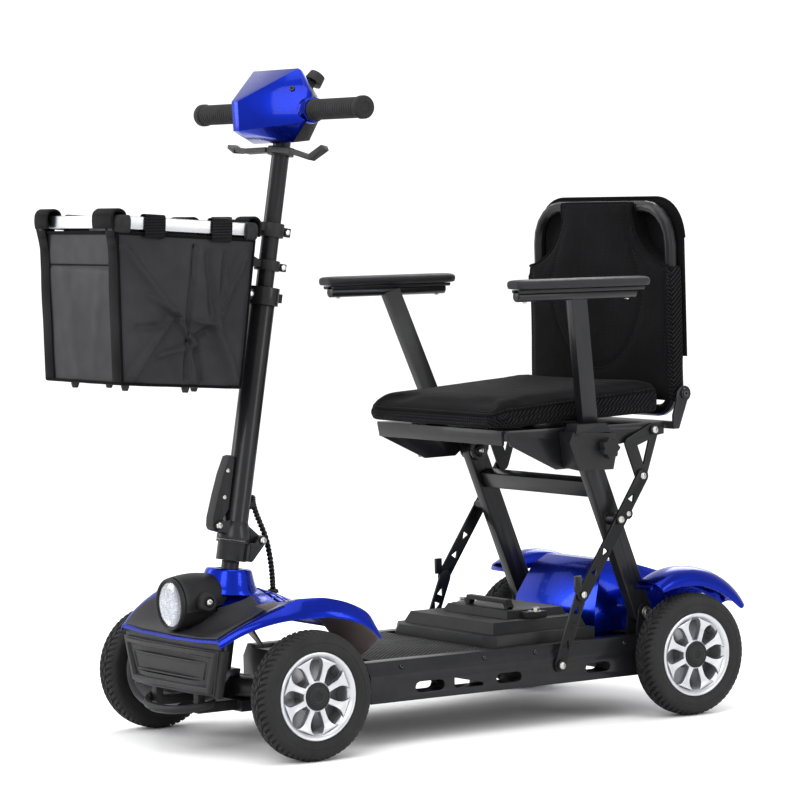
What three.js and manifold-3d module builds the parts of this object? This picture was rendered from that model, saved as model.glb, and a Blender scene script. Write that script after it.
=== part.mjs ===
// Folding four-wheel mobility scooter.
// Frame: +Z up, the front of the scooter faces -Y, +X is the rider's left. Millimetres.
// Stations along the length are measured from the front axle (y = 0); the whole group is moved by Y_CENTRE
// at the end, so that the origin is under the middle of the object, on the ground.
import * as THREE from "three";
import { mergeVertices } from "three/addons/utils/BufferGeometryUtils.js";
import { ConvexGeometry } from "three/addons/geometries/ConvexGeometry.js";
import Module from "manifold-3d";

const wasm = await Module();
wasm.setup();

// ---------------------------------------------------------------- driving dimensions
const WHEEL_R = 100; // 200 x 50 tyres
const TYRE_W = 50;
const WHEELBASE = 740;
const FRONT_OUT = 256; // outer face of the front tyres
const REAR_OUT = 250; // outer face of the rear tyres
const KINGPIN_X = 177;
const RAKE = THREE.MathUtils.degToRad(9.6); // tiller leans back
const STEM_ORIGIN = [0, 3, 290]; // origin of the tiller's own frame, on the steering axis
const P1 = [690, 168]; // (y, z) seat leg pivot on the chassis
const P2 = [588, 424]; // seat leg pivot under the seat pan
const MID = [622, 326]; // leg to upper link
const KNEE = [546, 209]; // upper link to lower link
const RAIL = [502, 98]; // lower link on the side rail
const TOP = [671, 394]; // upper link to seat bracket
const SEATPIN = [697, 468]; // seat bracket on the seat pan
const BACK_HINGE = [752, 525];
const FOLD_HINGE = [44, 36]; // tiller fold, (y', z') in the tiller's own frame
const BAR = [-9, 711]; // handlebar axis, (y', z')
const Y_CENTRE = 301;
const GAP = 0.3;

// ---------------------------------------------------------------- helpers
const V = (x, y, z) => new THREE.Vector3(x, y, z);

function solid(g) {
  const flat = g.index ? g.toNonIndexed() : g;
  const only = new THREE.BufferGeometry().setAttribute("position", flat.getAttribute("position"));
  const m = mergeVertices(only, 1e-3);
  const src = m.index.array, keep = [];
  for (let i = 0; i < src.length; i += 3)
    if (src[i] !== src[i + 1] && src[i + 1] !== src[i + 2] && src[i] !== src[i + 2])
      keep.push(src[i], src[i + 1], src[i + 2]);
  const made = new wasm.Manifold(
    new wasm.Mesh({ numProp: 3, vertProperties: m.attributes.position.array, triVerts: new Uint32Array(keep) }),
  );
  return made;
}
function geometry(m) {
  const k = m.getMesh(), n = k.numProp, v = new Float32Array(k.numVert * 3);
  for (let i = 0; i < k.numVert; i++) v.set(k.vertProperties.subarray(i * n, i * n + 3), i * 3);
  const g = new THREE.BufferGeometry();
  g.setAttribute("position", new THREE.BufferAttribute(v, 3));
  g.setIndex(new THREE.BufferAttribute(new Uint32Array(k.triVerts), 1));
  g.computeVertexNormals();
  return g;
}
const add = (...s) => s.reduce((a, b) => a.add(b));
const cut = (a, ...s) => s.reduce((p, b) => p.subtract(b), a);

function box(x0, x1, y0, y1, z0, z1) {
  const g = new THREE.BoxGeometry(x1 - x0, y1 - y0, z1 - z0);
  g.translate((x0 + x1) / 2, (y0 + y1) / 2, (z0 + z1) / 2);
  return solid(g);
}
function hull(points) {
  return solid(new ConvexGeometry(points.map((p) => V(...p))));
}
// points mirrored to both sides of the centre plane
const both = (points) => points.flatMap(([x, y, z]) => (x === 0 ? [[x, y, z]] : [[x, y, z], [-x, y, z]]));
function cyl(a, b, r, seg = 20, r2 = r, phase = 0) {
  const A = V(...a), B = V(...b), d = B.clone().sub(A), len = d.length();
  const g = new THREE.CylinderGeometry(r2, r, len, seg);
  if (phase) g.rotateY(phase);
  g.translate(0, len / 2, 0);
  g.applyQuaternion(new THREE.Quaternion().setFromUnitVectors(V(0, 1, 0), d.normalize()));
  g.translate(A.x, A.y, A.z);
  return solid(g);
}
// rectangular bar from a to b: w across `side`, h across the other way
function bar(a, b, w, h, side = [1, 0, 0]) {
  const A = V(...a), B = V(...b), d = B.clone().sub(A), len = d.length();
  d.normalize();
  const s = V(...side).addScaledVector(d, -V(...side).dot(d)).normalize();
  const t = new THREE.Vector3().crossVectors(d, s);
  const g = new THREE.BoxGeometry(w, h, len);
  g.translate(0, 0, len / 2);
  g.applyMatrix4(new THREE.Matrix4().makeBasis(s, t, d).setPosition(A));
  return solid(g);
}
function shape(points) {
  return new THREE.Shape(points.map((p) => new THREE.Vector2(p[0], p[1])));
}
// outline in (y, z), extruded along x from x0 to x1
function prismYZ(points, x0, x1) {
  const g = new THREE.ExtrudeGeometry(shape(points), { depth: Math.abs(x1 - x0), bevelEnabled: false, curveSegments: 1 });
  g.applyMatrix4(new THREE.Matrix4().makeBasis(V(0, 1, 0), V(0, 0, 1), V(1, 0, 0)));
  g.translate(Math.min(x0, x1), 0, 0);
  return solid(g);
}
// outline in (x, z), extruded along y from y0 to y1
function prismXZ(points, y0, y1) {
  const g = new THREE.ExtrudeGeometry(shape(points), { depth: y1 - y0, bevelEnabled: false, curveSegments: 1 });
  g.applyMatrix4(new THREE.Matrix4().makeBasis(V(1, 0, 0), V(0, 0, 1), V(0, -1, 0)));
  g.translate(0, y1, 0);
  return solid(g);
}
// outline in (x, y), extruded along z from z0 to z1
function prismXY(points, z0, z1) {
  const g = new THREE.ExtrudeGeometry(shape(points), { depth: z1 - z0, bevelEnabled: false, curveSegments: 1 });
  g.translate(0, 0, z0);
  return solid(g);
}
function circle(c, r, n = 20, a0 = 0, a1 = 2 * Math.PI) {
  const full = Math.abs(a1 - a0 - 2 * Math.PI) < 1e-9, p = [];
  for (let i = 0; i < (full ? n : n + 1); i++) {
    const a = a0 + ((a1 - a0) * i) / n;
    p.push([c[0] + r * Math.cos(a), c[1] + r * Math.sin(a)]);
  }
  return p;
}
// outline of a bar with round ends, from p to q
function capsule(p, q, r, n = 8) {
  const a = Math.atan2(q[1] - p[1], q[0] - p[0]);
  return [
    ...circle(q, r, n, a - Math.PI / 2, a + Math.PI / 2),
    ...circle(p, r, n, a + Math.PI / 2, a + (3 * Math.PI) / 2),
  ];
}
// ring sector in (y, z)
function arcBand(c, r0, r1, a0, a1, n) {
  return [...circle(c, r1, n, a0, a1), ...circle(c, r0, n, a0, a1).reverse()];
}
// body of revolution about an axis parallel to X; profile rows are [x, r] and close on themselves
function lathe(profile, y, z, seg) {
  const pts = profile.map(([x, r]) => new THREE.Vector2(r, x));
  pts.push(pts[0].clone());
  const g = new THREE.LatheGeometry(pts, seg);
  // lathe axis Y -> X, with a vertex straight down
  g.applyMatrix4(new THREE.Matrix4().makeBasis(V(0, 1, 0), V(1, 0, 0), V(0, 0, -1)));
  g.translate(0, y, z);
  const s = solid(g);
  if (s.volume() > 0) return s;
  const f = g.toNonIndexed(), p = f.getAttribute("position");
  for (let i = 0; i < p.count; i += 3) {
    const a = [p.getX(i + 1), p.getY(i + 1), p.getZ(i + 1)], b = [p.getX(i + 2), p.getY(i + 2), p.getZ(i + 2)];
    p.setXYZ(i + 1, ...b);
    p.setXYZ(i + 2, ...a);
  }
  return solid(f);
}
// sweep of a round section along points lying in one plane; `normal` is that plane's normal
function sweep(points, r, m, normal, closed = false) {
  const P = points.map((p) => V(...p)), N = V(...normal).normalize(), n = P.length, pos = [], idx = [];
  for (let i = 0; i < n; i++) {
    const prev = closed ? P[(i + n - 1) % n] : P[Math.max(0, i - 1)];
    const next = closed ? P[(i + 1) % n] : P[Math.min(n - 1, i + 1)];
    const T = next.clone().sub(prev).normalize(), B = new THREE.Vector3().crossVectors(T, N).normalize();
    for (let k = 0; k < m; k++) {
      const a = (2 * Math.PI * k) / m;
      const q = P[i].clone().addScaledVector(N, r * Math.cos(a)).addScaledVector(B, r * Math.sin(a));
      pos.push(q.x, q.y, q.z);
    }
  }
  const rings = closed ? n : n - 1;
  for (let i = 0; i < rings; i++)
    for (let k = 0; k < m; k++) {
      const a = i * m + k, b = i * m + ((k + 1) % m), c = ((i + 1) % n) * m + k, d = ((i + 1) % n) * m + ((k + 1) % m);
      idx.push(a, b, c, b, d, c);
    }
  if (!closed)
    for (let k = 1; k < m - 1; k++) {
      idx.push(0, k + 1, k);
      idx.push((n - 1) * m, (n - 1) * m + k, (n - 1) * m + k + 1);
    }
  const build = (ix) => {
    const g = new THREE.BufferGeometry();
    g.setAttribute("position", new THREE.Float32BufferAttribute(pos, 3));
    g.setIndex(ix);
    return solid(g);
  };
  const s = build(idx);
  if (s.volume() > 0) return s;
  const flip = [];
  for (let i = 0; i < idx.length; i += 3) flip.push(idx[i], idx[i + 2], idx[i + 1]);
  return build(flip);
}
// plate with a curved top: top(u, v) gives a point, the underside lies t below it
function curvedPlate(top, us, vs, t) {
  const nu = us.length, nv = vs.length, pos = [], idx = [];
  for (const low of [0, t])
    for (const v of vs)
      for (const u of us) {
        const p = top(u, v);
        pos.push(p[0], p[1], p[2] - low);
      }
  const at = (layer, i, j) => layer * nu * nv + j * nu + i;
  for (let j = 0; j < nv - 1; j++)
    for (let i = 0; i < nu - 1; i++) {
      const a = at(0, i, j), b = at(0, i + 1, j), c = at(0, i + 1, j + 1), d = at(0, i, j + 1);
      idx.push(a, b, c, a, c, d);
      const e = at(1, i, j), f = at(1, i + 1, j), g = at(1, i + 1, j + 1), h = at(1, i, j + 1);
      idx.push(e, g, f, e, h, g);
    }
  const side = (p, q, r, s) => idx.push(p, q, r, p, r, s);
  for (let i = 0; i < nu - 1; i++) {
    side(at(1, i, 0), at(1, i + 1, 0), at(0, i + 1, 0), at(0, i, 0));
    side(at(0, i, nv - 1), at(0, i + 1, nv - 1), at(1, i + 1, nv - 1), at(1, i, nv - 1));
  }
  for (let j = 0; j < nv - 1; j++) {
    side(at(0, 0, j), at(0, 0, j + 1), at(1, 0, j + 1), at(1, 0, j));
    side(at(1, nu - 1, j), at(1, nu - 1, j + 1), at(0, nu - 1, j + 1), at(0, nu - 1, j));
  }
  const g = new THREE.BufferGeometry();
  g.setAttribute("position", new THREE.Float32BufferAttribute(pos, 3));
  g.setIndex(idx);
  return solid(g);
}
// linear interpolation in a table of rows [key, a, b, ...]
function table(rows, key, col) {
  if (key <= rows[0][0]) return rows[0][col];
  for (let i = 1; i < rows.length; i++)
    if (key <= rows[i][0]) {
      const t = (key - rows[i - 1][0]) / (rows[i][0] - rows[i - 1][0]);
      return rows[i - 1][col] + t * (rows[i][col] - rows[i - 1][col]);
    }
  return rows[rows.length - 1][col];
}
function mirrored(m) {
  const g = geometry(m), p = g.getAttribute("position"), ix = g.index.array;
  for (let i = 0; i < p.count; i++) p.setX(i, -p.getX(i));
  for (let i = 0; i < ix.length; i += 3) [ix[i + 1], ix[i + 2]] = [ix[i + 2], ix[i + 1]];
  return solid(g);
}

const root = new THREE.Group();
const vehicle = new THREE.Group();
vehicle.position.y = -Y_CENTRE;
root.add(vehicle);
const tiller = new THREE.Group(); // the tiller's own frame: z' runs up the steering axis
tiller.position.set(...STEM_ORIGIN);
tiller.rotation.x = -RAKE;
vehicle.add(tiller);

const finish = {
  black_steel: [0x17181a, 0.42, 0.55],
  black_plastic: [0x2a2b2d, 0.55, 0.0],
  soft_black: [0x1b1b1c, 0.8, 0.0],
  blue: [0x0a1c9c, 0.18, 0.2],
  tyre: [0x141415, 0.85, 0.0],
  rim: [0xc4c6c9, 0.35, 0.75],
  alloy: [0xd6d8db, 0.32, 0.85],
  fabric: [0x161618, 0.92, 0.0],
  lens: [0xf2f5fa, 0.1, 0.0],
};
function put(group, name, m, mat) {
  const [color, roughness, metalness] = finish[mat];
  const mesh = new THREE.Mesh(geometry(m), new THREE.MeshStandardMaterial({ color, roughness, metalness }));
  mesh.name = name;
  group.add(mesh);
}
const pair = (name, m, mat, group = vehicle) => {
  put(group, name + "_left", m, mat);
  put(group, name + "_right", mirrored(m), mat);
};

// ---------------------------------------------------------------- wheels
const SEG = 36;
function tyre(out, y) {
  const a = out - TYRE_W;
  const prof = [[5, 69], [1.5, 78], [0, 86], [6, 95.5], [17, 100], [33, 100], [44, 95.5], [50, 86], [48.5, 78], [45, 69]];
  return lathe(prof.map(([x, r]) => [a + x, r]), y, WHEEL_R, SEG);
}
function rim(out, y) {
  const a = out - TYRE_W;
  const ring = lathe([[5, 68.4], [5, 60], [12, 53], [40, 53], [44, 60], [45, 68.4]].map(([x, r]) => [a + x, r]), y, WHEEL_R, SEG);
  const hub = cyl([a + 10, y, WHEEL_R], [a + 44, y, WHEEL_R], 24, 24);
  let w = add(ring, hub);
  for (let k = 0; k < 8; k++) {
    const t = (k * Math.PI) / 4 + Math.PI / 8;
    w = w.add(bar([a + 37, y + 15 * Math.cos(t), WHEEL_R + 15 * Math.sin(t)], [a + 37, y + 57 * Math.cos(t), WHEEL_R + 57 * Math.sin(t)], 10, 15, [1, 0, 0]));
  }
  const cap = cyl([a + 43, y, WHEEL_R], [a + 48, y, WHEEL_R], 14, 12, 12);
  return cut(add(w, cap), cyl([a + 9, y, WHEEL_R], [a + 39, y, WHEEL_R], 8.6, 16));
}
pair("front_tyre", tyre(FRONT_OUT, 0), "tyre");
pair("front_rim", rim(FRONT_OUT, 0), "rim");
pair("rear_tyre", tyre(REAR_OUT, WHEELBASE), "tyre");
pair("rear_rim", rim(REAR_OUT, WHEELBASE), "rim");

// ---------------------------------------------------------------- chassis
{
  const rail = prismXZ([[150, 68], [188, 68], [188, 110], [174, 131], [150, 131]], 138, 705);
  const slot = (y0, y1, z0, z1) => prismYZ(capsule([y0 + (z1 - z0) / 2, (z0 + z1) / 2], [y1 - (z1 - z0) / 2, (z0 + z1) / 2], (z1 - z0) / 2, 4), 140, 200);
  const slots = [slot(222, 278, 79, 96), prismYZ([[297, 96], [297, 82], [303, 79], [352, 79], [352, 84]], 140, 200), slot(378, 428, 79, 95), slot(556, 606, 80, 96)];
  const ear = (x0, x1) => prismYZ([[672, 131], [706, 131], ...circle(P1, 15, 8, -0.2, Math.PI + 0.2)], x0, x1);
  const left = add(
    cut(rail, ...slots),
    ear(171, 176), ear(143.5, 149),
    cyl([143, ...P1], [178, ...P1], 6, 14),
    box(143.5, 151, 672, 705, 118, 131),
    cyl([187, ...RAIL], [196, ...RAIL], 5, 12),
    cyl([194, ...RAIL], [197.5, ...RAIL], 8, 12),
  );
  const frame = add(
    left, mirrored(left),
    box(-151, 151, 138, 701, 119, 125), // floor pan
    box(-151, 151, 138, 170, 68, 120), // front cross member
    box(-151, 151, 650, 701, 72, 120), // rear cross member
    box(-84, 84, -34, 142, 62, 79), // front spine
  );
  put(vehicle, "floor_frame", frame, "black_steel");
}
{
  // front axle beam with kingpin bosses and the head tube that carries the steering stem
  const axis = (s) => [0, 3 + s * Math.sin(RAKE), 290 + s * Math.cos(RAKE)];
  let beam = add(
    box(-170, 170, -17, 17, 82, 110),
    cyl([KINGPIN_X, 0, 72], [KINGPIN_X, 0, 124], 12.5, 16), cyl([-KINGPIN_X, 0, 72], [-KINGPIN_X, 0, 124], 12.5, 16),
    cyl(axis(-186), axis(-52), 21, 20),
    hull([[-30, -45, 82], [30, -45, 82], [-30, -10, 82], [30, -10, 82], [-20, -42, 120], [20, -42, 120], [-20, 5, 120], [20, 5, 120]]),
  );
  beam = cut(beam, cyl(axis(-172), axis(-40), 14.6, 20), cyl([KINGPIN_X, 0, 60], [KINGPIN_X, 0, 140], 5.6, 12), cyl([-KINGPIN_X, 0, 60], [-KINGPIN_X, 0, 140], 5.6, 12));
  put(vehicle, "front_axle_beam", beam, "black_steel");

  const knuckle = add(
    box(162, 196, -14, 14, 126, 131), box(162, 196, -14, 14, 64, 70), box(191, 196, -14, 14, 64, 131),
    box(169, 185, -14, 50, 64, 70),
    cyl([KINGPIN_X, 0, 65], [KINGPIN_X, 0, 134], 5, 12),
    cyl([191, 0, WHEEL_R], [FRONT_OUT - 14, 0, WHEEL_R], 8, 14),
    cyl([191, 0, WHEEL_R], [203, 0, WHEEL_R], 13, 14),
  );
  pair("steering_knuckle", knuckle, "black_steel");
  put(vehicle, "tie_rod", add(cyl([-186, 42, 56], [186, 42, 56], 5, 10), cyl([-177, 42, 51], [-177, 42, 63], 7, 10), cyl([177, 42, 51], [177, 42, 63], 7, 10)), "black_steel");
}
// motor and gearbox with the rear axle
put(vehicle, "motor_gearbox", add(
  cyl([-62, WHEELBASE, 104], [62, WHEELBASE, 104], 38, 20),
  cyl([-196, WHEELBASE, WHEEL_R], [196, WHEELBASE, WHEEL_R], 15, 14),
  cyl([-(REAR_OUT - 14), WHEELBASE, WHEEL_R], [REAR_OUT - 14, WHEELBASE, WHEEL_R], 8, 14),
  box(-120, 120, 701.4, 728, 78, 122),
  box(-40, 40, 730, 800, 80, 128),
), "black_plastic");
put(vehicle, "floor_mat", prismXY([[-149, 172], [149, 172], [149, 392], [-149, 392]], 125.4, 131), "soft_black");

// battery case with its lid, carry handle and latch lugs
{
  const base = hull(both([[128, 398, 130], [142, 412, 125.4], [142, 610, 125.4], [128, 398, 125.4], [142, 414, 148], [142, 610, 148], [118, 400, 146]]));
  const lid = hull(both([[128, 416, 147], [128, 604, 147], [118, 424, 166], [118, 598, 166]]));
  const hump = hull(both([[92, 470, 165], [92, 590, 165], [84, 476, 178], [84, 586, 178]]));
  const handle = add(bar([-58, 500, 178], [-50, 500, 190], 10, 12, [0, 1, 0]), bar([58, 500, 178], [50, 500, 190], 10, 12, [0, 1, 0]), box(-56, 56, 494, 506, 186, 193));
  const lugs = add(box(88, 106, 500, 540, 164, 176), box(-106, -88, 500, 540, 164, 176));
  put(vehicle, "battery_box", add(base, lid, hump, handle, lugs), "black_plastic");
}
// rear cover: centre fairing over the motor, bridge and the two mudguards
{
  const outer = hull(both([[114, 630, 133], [110, 636, 178], [94, 660, 230], [84, 682, 246], [86, 716, 244], [94, 806, 216], [104, 848, 196], [116, 860.8, 150], [116, 860.8, 133]]));
  const inner = hull(both([[109, 635, 130], [105, 641, 176], [89, 664, 226], [79, 684, 241], [81, 716, 239], [89, 803, 211], [99, 843, 192], [111, 855.8, 148], [111, 855.8, 130]]));
  const guard = prismYZ(arcBand([WHEELBASE, WHEEL_R], 131, 136, 0.62, 2.17, 14), 180, 222);
  const web = prismYZ([[768, 206], [842, 182], [845, 188], [770, 214]], 88, 184);
  const side = add(guard, web);
  const cover = cut(add(outer, side, mirrored(side)), inner);
  put(vehicle, "rear_cover", cover, "blue");
}

// ---------------------------------------------------------------- front body
// rows: y, crest half width, crest height, lower edge half width, lower edge height, height half way in, height at the centre
const COWL = [
  [-112, 146, 184, 150, 176, 181, 180], [-83, 160, 203, 166, 195, 186, 190], [-50, 172, 220, 183, 209, 196, 225],
  [-18, 181, 233, 197, 216, 212, 250], [12, 188, 243, 205, 218, 222, 252], [42, 194, 243, 210, 218, 222, 243],
  [75, 200, 237, 214, 213, 215, 232], [106, 204, 225, 215, 203, 206, 217], [124, 206, 213, 215, 192, 197, 205], [141, 207, 186, 215, 176, 183, 183],
];
function cowlTop(u, y) {
  const v = (c) => table(COWL, y, c), a = Math.abs(u);
  if (a > 1) return [Math.sign(u) * v(3), y, v(4)];
  const ease = (t) => (1 - Math.cos(t * Math.PI)) / 2;
  const z = a < 0.5 ? v(6) + (v(5) - v(6)) * ease(a / 0.5) : v(5) + (v(2) - v(5)) * ease((a - 0.5) / 0.5);
  return [u * v(1), y, z];
}
const US = [-1.2, -1, -0.85, -0.65, -0.45, -0.25, 0, 0.25, 0.45, 0.65, 0.85, 1, 1.2];
{
  const LAMP = [0, 228];
  const skin = curvedPlate(cowlTop, US, COWL.map((r) => r[0]), 5);
  const hump = cyl([0, -5, 236], [0, -1, 277], 50, 20, 36);
  const liner = prismYZ(arcBand([0, WHEEL_R], 132, 136, 0.13, 1.1, 8), 118, 210);
  const stemHole = cyl([0, -14, 190], [0, 6, 308], 19.5, 20);
  const lampHole = cyl([0, -200, LAMP[1]], [0, -46, LAMP[1]], 41, 24);
  const hollow = cyl([0, -5, 205], [0, -2, 270], 45, 20, 31);
  let cowl = cut(add(skin, hump, liner, mirrored(liner)), hollow, stemHole, lampHole);
  cowl = cowl.decompose().sort((a, b) => b.volume() - a.volume())[0];
  put(vehicle, "front_cowl", cowl, "blue");

  // black insert panel that lies on the cowl around the lamp
  const top = (u, y) => {
    const p = cowlTop(u, y);
    return [p[0], p[1], p[2] + 3];
  };
  const outline = both([[138, -108], [150, -84], [158, -56], [148, -30], [116, -4], [60, 8]]).map((p) => [p[0], p[1]]);
  const plan = hull(outline.flatMap(([x, y]) => [[x, y, 140], [x, y, 320]]));
  let insert = curvedPlate(top, US, COWL.map((r) => r[0]), 2.6).intersect(plan);
  insert = cut(insert, lampHole, cyl([0, -6, 200], [0, -6, 300], 53, 20));
  insert = insert.decompose().sort((a, b) => b.volume() - a.volume())[0];
  put(vehicle, "cowl_insert", insert, "black_plastic");

  const housing = cut(add(cyl([0, -108, LAMP[1]], [0, -50, LAMP[1]], 40, 24), cyl([0, -110, LAMP[1]], [0, -107, LAMP[1]], 38, 24, 40)), cyl([0, -120, LAMP[1]], [0, -96, LAMP[1]], 34.6, 24));
  put(vehicle, "headlight_housing", housing, "black_plastic");
  put(vehicle, "headlight_lens", add(cyl([0, -108, LAMP[1]], [0, -96.4, LAMP[1]], 34, 24), cyl([0, -113, LAMP[1]], [0, -107.9, LAMP[1]], 24, 24, 34)), "lens");
}
{
  const face = hull([
    ...both([[144, -103, 168], [144, -110, 168], [120, -98, 96], [120, -106, 96], [60, -110, 168], [60, -117, 168], [60, -106, 96], [60, -115, 96]]),
  ]);
  const recess = hull(both([[122, -126, 158], [104, -126, 114], [118, -112.5, 154], [102, -112.5, 118]]));
  const wing = hull([[140, -109, 168], [147, -106, 168], [147, -93, 167], [140, -93, 167], [117, -105, 96], [123, -103, 92], [125, -93, 92], [118, -93, 92]]);
  const braces = add(box(-70, -56, -104, -34.4, 64, 78), box(56, 70, -104, -34.4, 64, 78), box(-70, -56, -104, -92, 64, 110), box(56, 70, -104, -92, 64, 110));
  put(vehicle, "front_bumper", add(cut(face, recess), wing, mirrored(wing), braces), "black_plastic");
  const N = 12, pts = [];
  for (let i = 0; i <= N; i++) {
    const a = Math.PI - (Math.PI * i) / N;
    pts.push([84 * Math.cos(a), -84 - 50 * Math.sin(a), 80 - 12 * Math.sin(a)]);
  }
  put(vehicle, "bumper_loop", sweep(pts, 7, 8, [0, 0.23, 0.97]).subtract(box(-73, -53, -110, -60, 60, 92)).subtract(box(53, 73, -110, -60, 60, 92)).decompose().sort((a, b) => b.volume() - a.volume())[0], "black_plastic");
}

// ---------------------------------------------------------------- steering column (tiller frame)
put(tiller, "steering_stem", cyl([0, 0, -168], [0, 0, -1.4], 14, 20), "black_steel");
{
  const f = FOLD_HINGE;
  const body = add(cyl([0, 0, -1], [0, 0, 28], 24, 24), cyl([0, 0, 27], [0, 0, 31], 27, 24), box(-15, 15, 14, 31, 0, 30));
  const ear = (x0, x1) => prismYZ([[24, 4], [31.5, 2], ...circle(f, 8, 8, -0.9, 2.6), [31.2, 30.5], [24, 28]], x0, x1);
  put(tiller, "hinge_casting", add(body, ear(8, 16), ear(-16, -8), cyl([-18, ...f], [18, ...f], 4, 12)), "black_steel");

  // lower tube with its flared hinge foot
  const foot = add(cyl([0, 0, 31.4], [0, 0, 38], 27, 24), cyl([0, 0, 38], [0, 0, 60], 27, 24, 20.5));
  const tongue = prismYZ([[18, 34], ...circle(f, 8, 8, -1.9, 1.9), [18, 58]], -7.4, 7.4);
  const tube = cyl([0, 0, 60], [0, 0, 416], 20, 24);
  const leverEar = (x0, x1) => prismYZ([[-18, 40], [-36, 42], ...circle([-38, 51], 6, 6, -1.6, -4.3), [-18, 62]].reverse(), x0, x1);
  const ears = add(leverEar(11.6, 15.6), leverEar(-15.6, -11.6), cyl([-15, -38, 51], [15, -38, 51], 3, 10));
  put(tiller, "lower_tube", cut(add(foot, tongue, tube, ears), cyl([0, 0, 66], [0, 0, 420], 15, 24), cyl([-20, ...f], [20, ...f], 4.6, 12)), "black_steel");
}
{
  // clamp collar with its pinch bolt lug and lever
  const ring = cut(cyl([0, 0, 404], [0, 0, 432], 25, 24), cyl([0, 0, 400], [0, 0, 416.4], 20.4, 24), cyl([0, 0, 410], [0, 0, 440], 14.7, 24));
  const lug = add(box(-7, 7, -36, -22, 410, 426), cyl([-12, -31, 418], [15, -31, 418], 5.5, 12), box(-6, 6, 22, 32, 411, 425));
  put(tiller, "height_clamp", cut(add(ring, lug), box(-1.2, 1.2, 16, 40, 405, 440)), "black_steel");
}
const post = cyl([0, 0, 280], [0, 0, BAR[1]], 14, 24);
const handlebar = cyl([-236, ...BAR], [236, ...BAR], 11, 20);
put(tiller, "upper_tube", add(post, handlebar), "black_steel");
const postRoom = add(cyl([0, 0, 640], [0, 0, BAR[1] + 6], 14.6, 24), cyl([-120, ...BAR], [120, ...BAR], 11.6, 20));
{
  // quick-release fold lever on the front of the foot
  const o = [...circle([-38, 51], 9, 8, Math.PI, 2 * Math.PI), [-29.5, 64], [-22, 78], [-22, 156], [-26, 163], [-32, 160], [-39, 132], [-44, 98], [-48, 62]];
  put(tiller, "fold_lever", cut(prismYZ(o, -11, 11), cyl([-20, -38, 51], [20, -38, 51], 3.6, 10)), "black_plastic");
}
// basket
{
  const clampTop = cut(cyl([0, 0, 512], [0, 0, 534], 20, 20), cyl([0, 0, 500], [0, 0, 540], 14.4, 20));
  const clampLow = cut(cyl([0, 0, 459], [0, 0, 475], 20, 20), cyl([0, 0, 450], [0, 0, 480], 14.4, 20));
  const plate = box(-26, 26, -96.5, -90, 462, 530);
  const rib = (x0, x1) => prismYZ([[-91, 464], [-16, 462], [-16, 472], [-44, 482], [-58, 502], [-44, 516], [-16, 522], [-16, 532], [-91, 528]], x0, x1);
  const bracket = add(clampTop, clampLow, plate, rib(-9, -3), rib(3, 9), box(-9, 9, -22, -14, 464, 472), box(-9, 9, -22, -14, 520, 530), box(-4, 4, 18, 34, 516, 530), box(-4, 4, 18, 34, 461, 473));
  put(tiller, "basket_bracket", add(bracket, box(-20, 20, -101, -96, 500, 515)), "black_plastic");
  // the basket hangs nearly level from its rim; its own frame starts at the back of the rim
  const carrier = new THREE.Group();
  carrier.position.set(0, -12, 818);
  carrier.rotation.x = -THREE.MathUtils.degToRad(4);
  vehicle.add(carrier);
  const X = 122, L = 246, H = 255, RIM = 20;
  const ring = (m, c) => [[-X + m + c, m - L], [X - m - c, m - L], [X - m, m - L + c], [X - m, -m - c], [X - m - c, -m], [-X + m + c, -m], [-X + m, -m - c], [-X + m, m - L + c]];
  put(carrier, "basket_rim", cut(prismXY(ring(0, 10), -RIM, 0), prismXY(ring(4, 8.5), -RIM - 10, 10)), "alloy");
  const outer = hull(both([[X - 1, 1 - L, -RIM - GAP], [X - 1, -1, -RIM - GAP], [119, -225, -H], [119, -15, -H]]));
  const inner = hull(both([[X - 6, 6 - L, -RIM + 8], [X - 6, -6, -RIM + 8], [114, -220, 5 - H], [114, -20, 5 - H]]));
  put(carrier, "basket_bag", cut(outer, inner), "fabric");
}
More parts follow.
